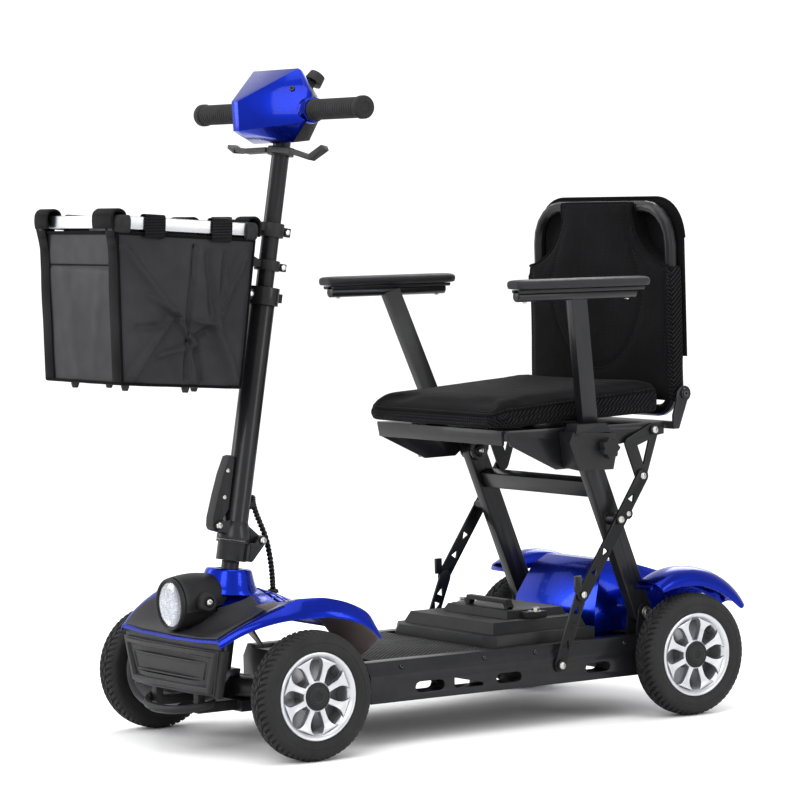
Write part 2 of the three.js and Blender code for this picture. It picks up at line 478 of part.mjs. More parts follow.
// head: painted front shell, black rear shell
{
  const front = hull(both([[9, -96, 712], [9, -86, 667], [66, -28, 774], [86, -28, 748], [96, -16.4, 736], [96, -16.4, 700], [88, -25, 688], [60, -17, 660], [26, -50, 662], [66, -16.4, 770], [58, -16.4, 659]]));
  put(tiller, "head_front_shell", cut(front, postRoom), "blue");
  // speed dial on the console, its stem in the rear shell
  const d = V(0, 0.5, 0.866), c = V(44, 12, 754);
  const dial = (s) => c.clone().addScaledVector(d, s).toArray();
  const rear = hull(both([[64, -16, 768], [92, -16, 740], [92, -16, 694], [56, -16, 659], [56, 20, 738], [62, 24, 700], [48, 20, 668]]));
  put(tiller, "head_rear_shell", cut(rear, postRoom, cyl(dial(-10.5), dial(14), 6.5, 12)), "black_plastic");
  put(tiller, "speed_knob", add(cyl(dial(-9), dial(8), 5.9, 12), cyl(dial(6), dial(22), 15, 18, 13)), "black_plastic");
}
{
  const grip = (s) => cut(add(cyl([s * 99, ...BAR], [s * 240, ...BAR], 16.5, 20), cyl([s * 226, ...BAR], [s * 236, ...BAR], 18, 20)), cyl([s * 90, ...BAR], [s * 236.6, ...BAR], 11.4, 20));
  put(tiller, "grip_left", grip(1), "soft_black");
  put(tiller, "grip_right", grip(-1), "soft_black");
  // wig-wag throttle paddle around the post
  const ring = cut(cyl([0, 0, 642], [0, 0, 655], 21, 20), cyl([0, 0, 630], [0, 0, 660], 14.8, 20));
  const arm = add(bar([10, -17, 648], [64, -18, 644], 8, 13, [0, 0, 1]), bar([60, -18, 645], [114, -13, 634], 8, 13, [0, 0, 1]), bar([110, -13, 634], [136, -6, 651], 8, 15, [0, 0, 1]));
  const arm2 = add(bar([-10, -17, 648], [-72, -18, 647], 8, 13, [0, 0, 1]), bar([-68, -18, 647], [-112, -13, 651], 8, 13, [0, 0, 1]), hull([[-106, -22, 644], [-106, -2, 646], [-140, -14, 654], [-140, 4, 656], [-106, -22, 650], [-106, -2, 652], [-140, -14, 660], [-140, 4, 662]]));
  put(tiller, "throttle_lever", cut(add(ring, arm, arm2, box(-14, 14, -21.5, -14, 644, 652)), cyl([0, 0, 630], [0, 0, 660], 14.8, 20)), "black_plastic");
}
// wiring loom from the tube to the cowl (world stations)
{
  const pts = [[45.5, 388], [46.5, 376], [52, 359], [60, 341], [68.5, 320], [74, 298], [77.5, 276], [79.3, 256], [80, 237]].map(([y, z]) => [0, y, z]);
  const curve = new THREE.CatmullRomCurve3(pts.map((p) => V(...p)));
  put(vehicle, "coil_cable", sweep(curve.getPoints(24).map((p) => p.toArray()), 5, 8, [1, 0, 0]), "soft_black");
}

// ---------------------------------------------------------------- seat carriage
const hole = (c, r, x0 = 140, x1 = 210, n = 14) => prismYZ(circle(c, r, n), x0, x1);
{
  const leg = cut(prismYZ(capsule(P1, P2, 18, 8), 150, 170), hole(P1, 6.4), hole(P2, 6.4));
  const pin = add(cyl([169, ...MID], [199, ...MID], 5, 12), cyl([169, ...MID], [193.6, ...MID], 10, 14), cyl([198.6, ...MID], [201.5, ...MID], 8, 12));
  pair("seat_leg", add(leg, pin), "black_steel");
  const c = [607, 376];
  put(vehicle, "leg_crossbar", bar([-149.6, ...c], [149.6, ...c], 20, 28, [0, 0.929, 0.37]), "black_steel");
}
function link(p, q, holes, x0, x1, r = 11) {
  let s = prismYZ(capsule(p, q, r, 6), x0, x1);
  const d = [q[0] - p[0], q[1] - p[1]], len = Math.hypot(...d), e = [d[0] / len, d[1] / len], n = [-e[1], e[0]];
  for (const [t, flip] of holes) {
    const at = (a, b) => [p[0] + e[0] * (t * len + a) + n[0] * b, p[1] + e[1] * (t * len + a) + n[1] * b];
    const k = flip ? -1 : 1;
    const tri = [at(-7 * k, -6), at(7 * k, 0), at(-7 * k, 6)];
    s = s.subtract(prismYZ(k > 0 ? tri : tri.reverse(), x0 - 2, x1 + 2));
  }
  return s;
}
pair("upper_link", cut(add(
  link(KNEE, TOP, [[0.2, false], [0.35, true], [0.82, false]], 194, 198),
  prismYZ(circle([640, 334], 9, 10), 194, 198),
  box(194, 199.5, 530, 542, 214, 240),
), hole(MID, 5.4, 190, 202), hole([642, 334], 4, 190, 202, 10)), "black_steel");
pair("lower_link", cut(link(RAIL, KNEE, [[0.3, false], [0.55, true], [0.78, false]], 189.5, 193.5), hole(RAIL, 5.4, 186, 193.9)), "black_steel");
{
  const a = SEATPIN, b = [649, 448], c = TOP;
  const round = (p, r, a0, a1) => circle(p, r, 5, a0, a1);
  const plate = hull([...round(a, 11, -0.9, 1.9), ...round(b, 10, 1.7, 4.2), ...round(c, 11, 3.3, 6.0)].flatMap(([y, z]) => [[189.5, y, z], [193.5, y, z]]));
  const inside = prismYZ([[664, 444], [676, 412], [688, 452]], 180, 200);
  pair("seat_bracket", cut(plate, inside, hole(a, 5.4, 180, 200)), "black_steel");
}
{
  // seat pan: plate, front flange, tapered side plates, pivot lugs and the backrest ears
  const sidePlate = prismYZ([[410, 476], [414, 456], [504, 413], [566, 414], [606, 444], [724, 460], [724, 476]], 183, 187);
  const lug = (x0, x1) => prismYZ([[566, 476], [572, 424], ...circle(P2, 17, 8, Math.PI, 2 * Math.PI), [606, 424], [612, 476]], x0, x1);
  const ear = prismYZ([[728, 468], [740, 468], ...circle(BACK_HINGE, 13, 8, -1.1, Math.PI - 0.2), [728, 490]], 203.5, 207.5);
  const side = add(
    sidePlate, lug(142, 148), lug(172.5, 177), cyl([142, ...P2], [177, ...P2], 5.9, 14),
    box(150, 207.5, 728, 740, 468, 480), cut(ear, hole(BACK_HINGE, 8.5, 200, 210, 16)),
    cyl([186, ...SEATPIN], [195.5, ...SEATPIN], 5, 12), cyl([194, ...SEATPIN], [198, ...SEATPIN], 8, 12),
  );
  const pan = add(box(-187, 187, 410, 740, 474, 480), box(-174, 174, 405, 411, 456, 480), side, mirrored(side), box(-149.5, 149.5, 500, 540, 452, 476));
  put(vehicle, "seat_pan", pan, "black_steel");
}
// cushion, crowned, with softened edges
put(vehicle, "seat_cushion", hull(both([
  [174, 386, 500], [174, 388, 490], [184, 396, 492], [187, 396, 506], [178, 398, 517], [150, 420, 524], [174, 400, 484], [186, 412, 486],
  [193, 500, 502], [193, 620, 516], [188, 716, 506], [190, 712, 522], [184, 716, 534], [176, 725, 508], [176, 721, 529], [150, 700, 544], [178, 708, 540], [180, 710, 497],
])), "fabric");

// ---------------------------------------------------------------- backrest, built upright then tipped about its hinge
const back = new THREE.Group();
{
  const [hy, hz] = BACK_HINGE;
  back.position.set(0, hy, hz);
  back.rotation.x = THREE.MathUtils.degToRad(0.8);
  vehicle.add(back);
  const X = 180, Z0 = -30, Z1 = 306, R = 62, R0 = 40, pts = [];
  const corner = (cx, cz, r, a0, n = 5) => {
    for (let i = 0; i <= n; i++) pts.push([cx + r * Math.cos(a0 + (i * Math.PI) / 2 / n), 0, cz + r * Math.sin(a0 + (i * Math.PI) / 2 / n)]);
  };
  corner(X - R, Z1 - R, R, 0);
  corner(-X + R, Z1 - R, R, Math.PI / 2);
  corner(-X + R0, Z0 + R0, R0, Math.PI);
  corner(X - R0, Z0 + R0, R0, 1.5 * Math.PI);
  const loop = (r) => sweep(pts, r, 10, [0, 1, 0], true);
  const boss = add(cyl([182, 0, 0], [209.5, 0, 0], 8, 14), cyl([-182, 0, 0], [-209.5, 0, 0], 8, 14));
  put(back, "back_frame", add(loop(10), boss), "black_steel");
  // padded cover: wings at the sides, a notch at each top corner, open along the bottom where the frame comes out
  const half = [[202.5, 2], [202.5, 211], [190, 213], [167, 220], [133, 240], [114, 262], [104, 285], [100, 305], [99, 322]];
  const outline = [...half, ...half.slice().reverse().map(([x, z]) => [-x, z])];
  const plan = both([[202.5, -8], [202.5, 8], [190, 16], [172, -20]]).map(([x, y]) => [x, y, 0]);
  let cover = prismXZ(outline, -20, 16).intersect(hull(plan.flatMap(([x, y]) => [[x, y, -60], [x, y, 360]])));
  cover = cut(cover, loop(10.8), add(cyl([170, 0, 0], [215, 0, 0], 8.8, 14), cyl([-170, 0, 0], [-215, 0, 0], 8.8, 14)), box(-191, -169, -11, 11, -40, 30), box(169, 191, -11, 11, -40, 30));
  cover = cover.decompose().sort((a, b) => b.volume() - a.volume())[0];
  put(back, "back_cover", cover, "fabric");
}

// ---------------------------------------------------------------- armrests
{
  const A = V(199, 563.2, 436), B = V(262, 492, 694), d = B.clone().sub(A).normalize();
  const low = A.toArray(), high = B.toArray();
  const stem = (w, h, a = low, b = high) => bar(a, b, w, h, [1, 0, 0]);
  const beyond = (s) => A.clone().addScaledVector(d, s).toArray();
  const lower = hull([[188.4, 508, 474], [188.4, 582, 474], [188.4, 516, 416], [188.4, 580, 416], [230, 506, 474], [238, 520, 474], [238, 584, 470], [238, 590, 452], [238, 580, 412], [226, 520, 412], [228, 500, 458]]);
  const upper = hull([[197, 512, 472], [197, 580, 472], [236, 508, 472], [236, 578, 472], [200, 516, 487], [200, 572, 487], [234, 512, 487], [234, 570, 487]]);
  const socket = cut(add(lower, upper), stem(17, 31, beyond(-60), beyond(120)), cyl([215, 562, 448], [245, 562, 448], 4.6, 12));
  const big = socket.decompose().sort((a, b) => b.volume() - a.volume())[0];
  pair("arm_socket", big, "black_plastic");
  const carrier = cyl([266, 372, 696], [266, 604, 696], 9, 14);
  pair("arm_post", add(stem(16, 30), carrier), "black_steel");
  const pad = hull([
    [246, 366, 708], [250, 362, 711], [290, 362, 711], [294, 366, 708], [246, 620, 708], [294, 620, 708], [250, 623, 711], [290, 623, 711],
    [244.5, 368, 716], [295.5, 368, 716], [244.5, 620, 716], [295.5, 620, 716], [252, 366, 722], [288, 366, 722], [252, 618, 722], [288, 618, 722],
    [248, 366, 705.6], [292, 366, 705.6], [248, 619, 705.6], [292, 619, 705.6],
  ]);
  pair("arm_pad", pad, "soft_black");
  const lobes = [];
  for (let k = 0; k < 28; k++) {
    const t = (2 * Math.PI * k) / 28, r = 15.5 + 2 * Math.cos(7 * t);
    lobes.push([562 + r * Math.cos(t), 448 + r * Math.sin(t)]);
  }
  pair("arm_knob", add(prismYZ(lobes, 244, 258), cyl([238.5, 562, 448], [245, 562, 448], 9, 12), cyl([222, 562, 448], [240, 562, 448], 4, 10)), "black_plastic");
}

export default root;
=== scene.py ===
import bpy, bmesh, math
from mathutils import Vector, Matrix, noise
from mathutils.geometry import tessellate_polygon

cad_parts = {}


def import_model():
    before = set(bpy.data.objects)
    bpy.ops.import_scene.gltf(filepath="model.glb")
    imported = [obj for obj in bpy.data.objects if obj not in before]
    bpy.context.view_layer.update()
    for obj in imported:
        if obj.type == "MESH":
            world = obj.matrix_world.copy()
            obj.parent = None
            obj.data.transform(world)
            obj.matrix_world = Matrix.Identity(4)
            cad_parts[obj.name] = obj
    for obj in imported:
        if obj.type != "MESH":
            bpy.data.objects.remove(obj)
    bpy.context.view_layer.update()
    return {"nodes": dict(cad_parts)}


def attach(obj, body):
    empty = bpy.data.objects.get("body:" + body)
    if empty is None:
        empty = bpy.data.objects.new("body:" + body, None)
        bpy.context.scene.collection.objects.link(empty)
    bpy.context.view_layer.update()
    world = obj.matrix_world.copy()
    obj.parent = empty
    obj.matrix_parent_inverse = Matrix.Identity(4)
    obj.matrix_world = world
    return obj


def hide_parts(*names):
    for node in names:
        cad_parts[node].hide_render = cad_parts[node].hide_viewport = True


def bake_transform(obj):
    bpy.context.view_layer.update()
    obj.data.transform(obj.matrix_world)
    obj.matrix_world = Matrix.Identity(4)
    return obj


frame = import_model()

SC = bpy.context.scene
YC = 301.0
RAKE = math.radians(9.6)
CR, SR = math.cos(RAKE), math.sin(RAKE)


def P(x, y, z):
    """scooter stations in millimetres to the row frame"""
    return Vector((x, y - YC, z)) / 1000


def T(x, y, z):
    """tiller frame in millimetres to the row frame"""
    return P(x, 3 + y * CR + z * SR, 290 - y * SR + z * CR)


C4, S4 = math.cos(math.radians(4)), math.sin(math.radians(4))


def K(x, y, z):
    """basket frame to the row frame"""
    return P(x, -12 + y * C4 + z * S4, 818 - y * S4 + z * C4)


CB, SB = math.cos(math.radians(0.8)), math.sin(math.radians(0.8))


def BK(x, y, z):
    """backrest frame to the row frame"""
    return P(x, 752 + y * CB - z * SB, 525 + y * SB + z * CB)


# ------------------------------------------------------------------ camera, light, floor
az, el, roll = math.radians(55.7928), math.radians(3.2543), math.radians(-1.0295)
B = Vector((math.sin(az) * math.cos(el), -math.cos(az) * math.cos(el), math.sin(el)))
r0 = Vector((math.cos(az), math.sin(az), 0))
u0 = B.cross(r0)
R = math.cos(roll) * r0 + math.sin(roll) * u0
U = -math.sin(roll) * r0 + math.cos(roll) * u0
cam = bpy.data.objects.new("camera", bpy.data.cameras.new("camera"))
cam.data.lens = 3653.146 / 800 * 36
cam.data.sensor_width = 36
cam.data.clip_end = 100
cam.matrix_world = Matrix(((R.x, U.x, B.x, 4.880608), (R.y, U.y, B.y, -3.288861), (R.z, U.z, B.z, 0.861862), (0, 0, 0, 1)))
SC.collection.objects.link(cam)
SC.camera = cam
SC.view_settings.view_transform = "Standard"
SC.view_settings.look = "Medium High Contrast"


def area(name, loc, target, size, power, size_y=None, color=(1, 1, 1)):
    l = bpy.data.lights.new(name, "AREA")
    l.energy, l.size, l.color = power, size, color
    if size_y:
        l.shape, l.size_y = "RECTANGLE", size_y
    o = bpy.data.objects.new(name, l)
    o.location = loc
    o.rotation_euler = (Vector(target) - Vector(loc)).to_track_quat("-Z", "Y").to_euler()
    SC.collection.objects.link(o)


area("light_top", (0.4, -0.3, 3.2), (0, 0, 0.3), 2.6, 34, 2.6)
area("light_key", (2.2, -3.0, 2.3), (0, 0, 0.5), 1.6, 44, 2.2)
area("light_side", (3.4, 1.6, 1.5), (0, 0.1, 0.5), 1.0, 26, 2.0)
area("light_left", (-2.4, -2.2, 1.6), (0, 0, 0.6), 1.0, 26, 2.2)
area("light_back", (-1.8, 2.6, 2.2), (0, 0, 0.6), 1.4, 30, 1.6)
world = bpy.data.worlds.new("studio")
world.use_nodes = True
world.node_tree.nodes["Background"].inputs["Color"].default_value = (1, 1, 1, 1)
world.node_tree.nodes["Background"].inputs["Strength"].default_value = 0.97
SC.world = world


# ------------------------------------------------------------------ materials
class Mat:
    def __init__(s, name, **k):
        s.m = bpy.data.materials.new(name)
        s.m.use_nodes = True
        s.t = s.m.node_tree
        s.t.nodes.clear()
        s.out = s.n("ShaderNodeOutputMaterial")
        s.b = s.n("ShaderNodeBsdfPrincipled")
        s.l(s.b, "BSDF", s.out, "Surface")
        s.co = s.n("ShaderNodeTexCoord")
        s.nrm = None
        for a, v in k.items():
            s.b.inputs[a.replace("_", " ")].default_value = v

    def n(s, kind, **k):
        x = s.t.nodes.new(kind)
        for a, v in k.items():
            if a in x.inputs:
                x.inputs[a].default_value = v
            else:
                setattr(x, a, v)
        return x

    def l(s, a, ao, b, bi):
        s.t.links.new(a.outputs[ao], b.inputs[bi])

    def coords(s, rot=(0, 0, 0), scale=(1, 1, 1)):
        m = s.n("ShaderNodeMapping")
        m.inputs["Rotation"].default_value = rot
        m.inputs["Scale"].default_value = scale
        s.l(s.co, "Object", m, "Vector")
        return m

    def noise(s, scale, detail=3, rough=0.55, co=None):
        x = s.n("ShaderNodeTexNoise")
        x.inputs["Scale"].default_value = scale
        x.inputs["Detail"].default_value = detail
        x.inputs["Roughness"].default_value = rough
        s.l(co or s.co, "Vector" if co else "Object", x, "Vector")
        return x, "Fac"

    def voronoi(s, scale, rnd=1.0, co=None, feature="F1", out="Distance"):
        x = s.n("ShaderNodeTexVoronoi", feature=feature)
        x.inputs["Scale"].default_value = scale
        x.inputs["Randomness"].default_value = rnd
        s.l(co or s.co, "Vector" if co else "Object", x, "Vector")
        return x, out

    def wave(s, scale, direction="DIAGONAL", distortion=0.0, co=None):
        x = s.n("ShaderNodeTexWave", bands_direction=direction)
        x.inputs["Scale"].default_value = scale
        x.inputs["Distortion"].default_value = distortion
        s.l(co or s.co, "Vector" if co else "Object", x, "Vector")
        return x, "Fac"

    def ramp(s, src, stops):
        r = s.n("ShaderNodeValToRGB")
        e = r.color_ramp.elements
        while len(e) > 1:
            e.remove(e[-1])
        e[0].position, e[0].color = stops[0][0], (*stops[0][1], 1)
        for p, c in stops[1:]:
            q = e.new(p)
            q.color = (*c, 1)
        s.l(src[0], src[1], r, "Fac")
        return r, "Color"

    def mix(s, fac, a, b, kind="MIX"):
        m = s.n("ShaderNodeMix", data_type="RGBA", blend_type=kind)
        for v, i in ((fac, 0), (a, 6), (b, 7)):
            if isinstance(v, tuple) and hasattr(v[0], "outputs"):
                s.t.links.new(v[0].outputs[v[1]], m.inputs[i])
            elif i == 0:
                m.inputs[0].default_value = v
            else:
                m.inputs[i].default_value = (*v, 1)
        return _Out(m, 2), "Result"

    def color(s, src):
        s.t.links.new(sock(src), s.b.inputs["Base Color"])

    def rough(s, src, lo, hi):
        m = s.n("ShaderNodeMapRange")
        m.inputs["To Min"].default_value, m.inputs["To Max"].default_value = lo, hi
        s.t.links.new(sock(src), m.inputs["Value"])
        s.l(m, "Result", s.b, "Roughness")

    def bump(s, src, dist, strength=1.0):
        b = s.n("ShaderNodeBump")
        b.inputs["Distance"].default_value = dist
        b.inputs["Strength"].default_value = strength
        s.t.links.new(sock(src), b.inputs["Height"])
        if s.nrm:
            s.t.links.new(s.nrm, b.inputs["Normal"])
        s.nrm = b.outputs["Normal"]
        s.t.links.new(s.nrm, s.b.inputs["Normal"])

    # Mask of convex edges from pointiness; it lightens edges, for wear and for a painted edge highlight.
    def edges(s, lo=0.52, hi=0.62):
        g = s.n("ShaderNodeNewGeometry")
        return s.ramp((g, "Pointiness"), [(lo, (0, 0, 0)), (hi, (1, 1, 1))])


class _Out:
    def __init__(s, node, i):
        s.node, s.i = node, i
        s.outputs = {"Result": node.outputs[i]}


def sock(src):
    return src[0].outputs[src[1]]


def mul(c, k):
    return tuple(min(1.0, v * k) for v in c)


def coated(name, c, rough=(0.3, 0.42), metal=0.0, coat=0.0, grain=900, gdist=0.00004, edge_wear_and_highlight=0.25, var=0.25, ior=1.45, spec=0.3):
    m = Mat(name, Metallic=metal, Coat_Weight=coat, Coat_Roughness=0.06, IOR=ior, Specular_IOR_Level=spec)
    v = m.noise(9, 4)
    base = m.ramp(v, [(0.3, mul(c, 1 - var)), (0.7, mul(c, 1 + var))])
    dust = m.noise(55, 5, 0.7)
    speck = m.ramp(dust, [(0.45, (0, 0, 0)), (0.78, (1, 1, 1))])
    spot = m.mix(0.0, mul(c, 1), tuple(0.6 * x + 0.10 for x in c))
    sp = m.n("ShaderNodeMath", operation="MULTIPLY")
    sp.inputs[1].default_value = 0.05
    m.l(speck[0], "Color", sp, 0)
    base = m.mix((sp, "Value"), base, tuple(0.5 * x + 0.08 for x in c))
    # Convex edges are lightened: partly rubbed wear, partly a painted edge highlight.
    if edge_wear_and_highlight:
        w = m.n("ShaderNodeMath", operation="MULTIPLY")
        w.inputs[1].default_value = edge_wear_and_highlight
        m.l(m.edges()[0], "Color", w, 0)
        base = m.mix((w, "Value"), base, tuple(0.45 * x + 0.14 for x in c))
    m.color(base)
    m.rough(m.noise(26, 4), *rough)
    m.bump(m.noise(grain, 2), gdist)
    return m.m


M = {}
M["frame"] = coated("powder_black", (0.0118, 0.012, 0.0135), (0.27, 0.38), coat=0.12, grain=1400, gdist=0.00003, edge_wear_and_highlight=0.12)
M["steel"] = coated("steel_black", (0.0075, 0.0078, 0.0088), (0.30, 0.44), metal=0.1, grain=800, gdist=0.00004, edge_wear_and_highlight=0.3)
M["plastic"] = coated("plastic_black", (0.0125, 0.0127, 0.0138), (0.42, 0.56), grain=2200, gdist=0.00009, edge_wear_and_highlight=0.16)
M["insert"] = coated("plastic_grey", (0.034, 0.034, 0.037), (0.40, 0.52), grain=2200, gdist=0.00010, edge_wear_and_highlight=0.10)
M["bumper"] = coated("plastic_bumper", (0.019, 0.019, 0.0205), (0.36, 0.50), grain=2200, gdist=0.00009, edge_wear_and_highlight=0.14)


def blue():
    m = Mat("shell_blue", Metallic=0.86, Coat_Weight=0.26, Coat_Roughness=0.06, IOR=1.45, Specular_IOR_Level=0.15)
    flake = m.voronoi(2600, 1.0, out="Color")
    base = m.mix(0.16, (0.0008, 0.013, 0.25), flake, "OVERLAY")
    depth = m.ramp(m.noise(6, 3), [(0.35, (0.0005, 0.009, 0.18)), (0.65, (0.001, 0.022, 0.33))])
    base = m.mix(0.6, base, depth)
    # Convex edges are mixed towards a brighter blue: a painted edge highlight.
    w = m.n("ShaderNodeMath", operation="MULTIPLY")
    w.inputs[1].default_value = 0.35
    m.l(m.edges(0.53, 0.66)[0], "Color", w, 0)
    base = m.mix((w, "Value"), base, (0.015, 0.07, 0.75))
    m.color(base)
    m.rough(m.noise(40, 3), 0.22, 0.32)
    m.bump(m.noise(30, 2), 0.00012, 0.35)
    return m.m


M["blue"] = blue()


def rubber(name, c, dist=0.00006, var=0.3):
    m = Mat(name, IOR=1.5, Specular_IOR_Level=0.38)
    base = m.ramp(m.noise(14, 5), [(0.3, mul(c, 1 - var)), (0.72, mul(c, 1 + var))])
    d = m.ramp(m.noise(160, 4, 0.7), [(0.5, (0, 0, 0)), (0.8, (1, 1, 1))])
    w = m.n("ShaderNodeMath", operation="MULTIPLY")
    w.inputs[1].default_value = 0.09
    m.l(d[0], "Color", w, 0)
    m.color(m.mix((w, "Value"), base, (0.06, 0.059, 0.057)))
    m.rough(m.noise(30, 4), 0.55, 0.8)
    m.bump(m.noise(900, 3, 0.7), dist)
    return m.m


M["tyre"] = rubber("tyre_rubber", (0.0135, 0.0135, 0.0142))
M["rubber"] = rubber("mat_rubber", (0.012, 0.012, 0.013), 0.00010)
M["grip"] = rubber("grip_rubber", (0.015, 0.015, 0.016), 0.00012)
M["cable"] = coated("cable_black", (0.006, 0.006, 0.0066), (0.30, 0.45), grain=500, gdist=0.0001, edge_wear_and_highlight=0.1)


def silver(name, c=(0.50, 0.51, 0.53), rough=(0.26, 0.4), metal=0.85, brushed=None, coat=0.3):
    m = Mat(name, Metallic=metal, Coat_Weight=coat, Coat_Roughness=0.12)
    if brushed:
        v = m.noise(60, 6, 0.75, m.coords(scale=brushed))
    else:
        v = m.noise(20, 4)
    base = m.ramp(v, [(0.25, mul(c, 0.86)), (0.75, mul(c, 1.12))])
    w = m.n("ShaderNodeMath", operation="MULTIPLY")
    w.inputs[1].default_value = 0.3
    m.l(m.ramp(m.noise(120, 4, 0.7), [(0.55, (0, 0, 0)), (0.8, (1, 1, 1))])[0], "Color", w, 0)
    m.color(m.mix((w, "Value"), base, mul(c, 0.7)))
    m.rough(v, *rough)
    m.bump(v if brushed else m.noise(1500, 2), 0.00006 if brushed else 0.00002)
    return m.m


M["rim"] = silver("rim_silver")
M["band"] = silver("rim_band", (0.38, 0.385, 0.40), (0.26, 0.44), 1.0, (1, 1, 30))
M["barrel"] = silver("rim_barrel_shadow", (0.30, 0.30, 0.315), (0.34, 0.5), 0.75, coat=0.0)
M["bolt"] = silver("bolt_zinc", (0.46, 0.45, 0.43), (0.22, 0.38), 0.95, coat=0.0)
M["darkbolt"] = coated("bolt_black", (0.014, 0.014, 0.015), (0.3, 0.45), metal=0.5, edge_wear_and_highlight=0.4)


def leather():
    m = Mat("pad_leather", IOR=1.45, Specular_IOR_Level=0.3)
    g = m.voronoi(620, 1.0, feature="DISTANCE_TO_EDGE")
    crease = m.ramp(g, [(0.0, (0, 0, 0)), (0.12, (1, 1, 1))])
    base = m.mix(0.5, m.ramp(m.noise(12, 4), [(0.3, (0.016, 0.016, 0.0175)), (0.7, (0.026, 0.026, 0.029))]), m.mix(0.6, (0.026, 0.026, 0.028), crease, "MULTIPLY"))
    m.color(base)
    m.rough(m.noise(50, 4), 0.40, 0.55)
    m.bump(crease, 0.00012, 0.7)
    m.bump(m.noise(90, 3), 0.0002, 0.4)
    return m.m


M["leather"] = leather()


def weave(name, c, cell=620, dark=0.35, dist=0.0003, rot=(0, 0, math.radians(45)), sheen=0.03, rough=(0.78, 0.95), spec=0.12):
    m = Mat(name, Sheen_Weight=sheen, Sheen_Roughness=0.45, IOR=1.4, Specular_IOR_Level=spec)
    co = m.coords(rot)
    v = m.voronoi(cell, 0.06, co)
    hole = m.ramp(v, [(0.18, (1, 1, 1)), (0.62, (dark, dark, dark))])
    base = m.ramp(m.noise(7, 5, 0.6), [(0.3, mul(c, 0.72)), (0.7, mul(c, 1.3))])
    fib = m.ramp(m.noise(1500, 2, 0.6), [(0.35, (0.75, 0.75, 0.75)), (0.7, (1.2, 1.2, 1.2))])
    base = m.mix(1.0, base, hole, "MULTIPLY")
    base = m.mix(0.5, base, m.mix(1.0, base, fib, "MULTIPLY"))
    m.color(base)
    m.rough(m.noise(40, 3), *rough)
    m.bump(hole, dist)
    m.bump(m.noise(1200, 2), 0.00008, 0.6)
    return m.m


M["mesh_top"] = weave("mesh_fabric", (0.0135, 0.0135, 0.0152), 430, 0.35, 0.0004)
M["mesh_side"] = weave("mesh_fabric_coarse", (0.026, 0.026, 0.0285), 250, 0.06, 0.0010, (math.radians(45), 0, math.radians(45)))
M["nylon"] = weave("nylon_cloth", (0.0255, 0.0255, 0.0285), 900, 0.7, 0.00012, sheen=0.05, rough=(0.42, 0.58), spec=0.3)
M["webbing"] = weave("webbing", (0.019, 0.019, 0.021), 330, 0.25, 0.0007, (0, math.radians(45), 0), spec=0.2)
M["piping"] = weave("piping_cord", (0.009, 0.009, 0.010), 700, 0.4, 0.0003)
M["thread"] = rubber("thread", (0.02, 0.02, 0.022))
M["liner"] = coated("liner_taupe", (0.085, 0.068, 0.066), (0.35, 0.5), grain=1800, gdist=0.00006, edge_wear_and_highlight=0.1)


def glassy():
    m = Mat("lens_clear", IOR=1.45, Transmission_Weight=0.92, Coat_Weight=0.6)
    m.color(m.ramp(m.noise(30, 3), [(0.3, (0.93, 0.95, 0.98)), (0.7, (1.0, 1.0, 1.0))]))
    m.rough(m.noise(90, 2), 0.02, 0.06)
    m.bump(m.noise(60, 2), 0.00005, 0.3)
    return m.m


M["glass"] = glassy()


def led():
    # The cells also emit weakly in the same cell pattern: a painted glow that makes them brighter than the scene lights
    # do.
    m = Mat("led_white", IOR=1.5, Emission_Strength=0.12)
    c = m.ramp(m.voronoi(260, 0.4), [(0.05, (0.92, 0.93, 1.0)), (0.55, (0.40, 0.43, 0.52))])
    m.color(c)
    m.l(c[0], "Color", m.b, "Emission Color")
    m.rough(m.noise(60, 3), 0.15, 0.3)
    m.bump(m.voronoi(260, 0.4), 0.0006)
    return m.m


M["led"] = led()


# ------------------------------------------------------------------ mesh helpers
def smooth_group():
    g = bpy.data.node_groups.new("soft_edges", "GeometryNodeTree")
    g.interface.new_socket("Geometry", in_out="INPUT", socket_type="NodeSocketGeometry")
    g.interface.new_socket("Geometry", in_out="OUTPUT", socket_type="NodeSocketGeometry")
    i, o = g.nodes.new("NodeGroupInput"), g.nodes.new("NodeGroupOutput")
    a = g.nodes.new("GeometryNodeSetShadeSmooth")
    b = g.nodes.new("GeometryNodeSetShadeSmooth")
    b.domain = "EDGE"
    e = g.nodes.new("GeometryNodeInputMeshEdgeAngle")
    c = g.nodes.new("FunctionNodeCompare")
    c.operation = "GREATER_THAN"
    c.inputs[1].default_value = math.radians(38)
    b.inputs["Shade Smooth"].default_value = False
    g.links.new(i.outputs[0], a.inputs["Geometry"])
    g.links.new(a.outputs["Geometry"], b.inputs["Geometry"])
    g.links.new(e.outputs["Unsigned Angle"], c.inputs[0])
    g.links.new(c.outputs[0], b.inputs["Selection"])
    g.links.new(b.outputs["Geometry"], o.inputs[0])
    return g


SMOOTH = smooth_group()


def soften(o, bevel=0.0008, seg=2, weld=True, angle=30):
    if weld:
        w = o.modifiers.new("weld", "WELD")
        w.merge_threshold = 0.00002
    if bevel:
        b = o.modifiers.new("bevel", "BEVEL")
        b.width, b.segments, b.limit_method, b.angle_limit = bevel, seg, "ANGLE", math.radians(angle)
        b.use_clamp_overlap = True
    s = o.modifiers.new("soft", "NODES")
    s.node_group = SMOOTH


def cad(name, mat, bevel=0.0008, seg=2):
    o = frame["nodes"][name]
    o.data.materials.clear()
    o.data.materials.append(M[mat])
    soften(o, bevel, seg)
    return o


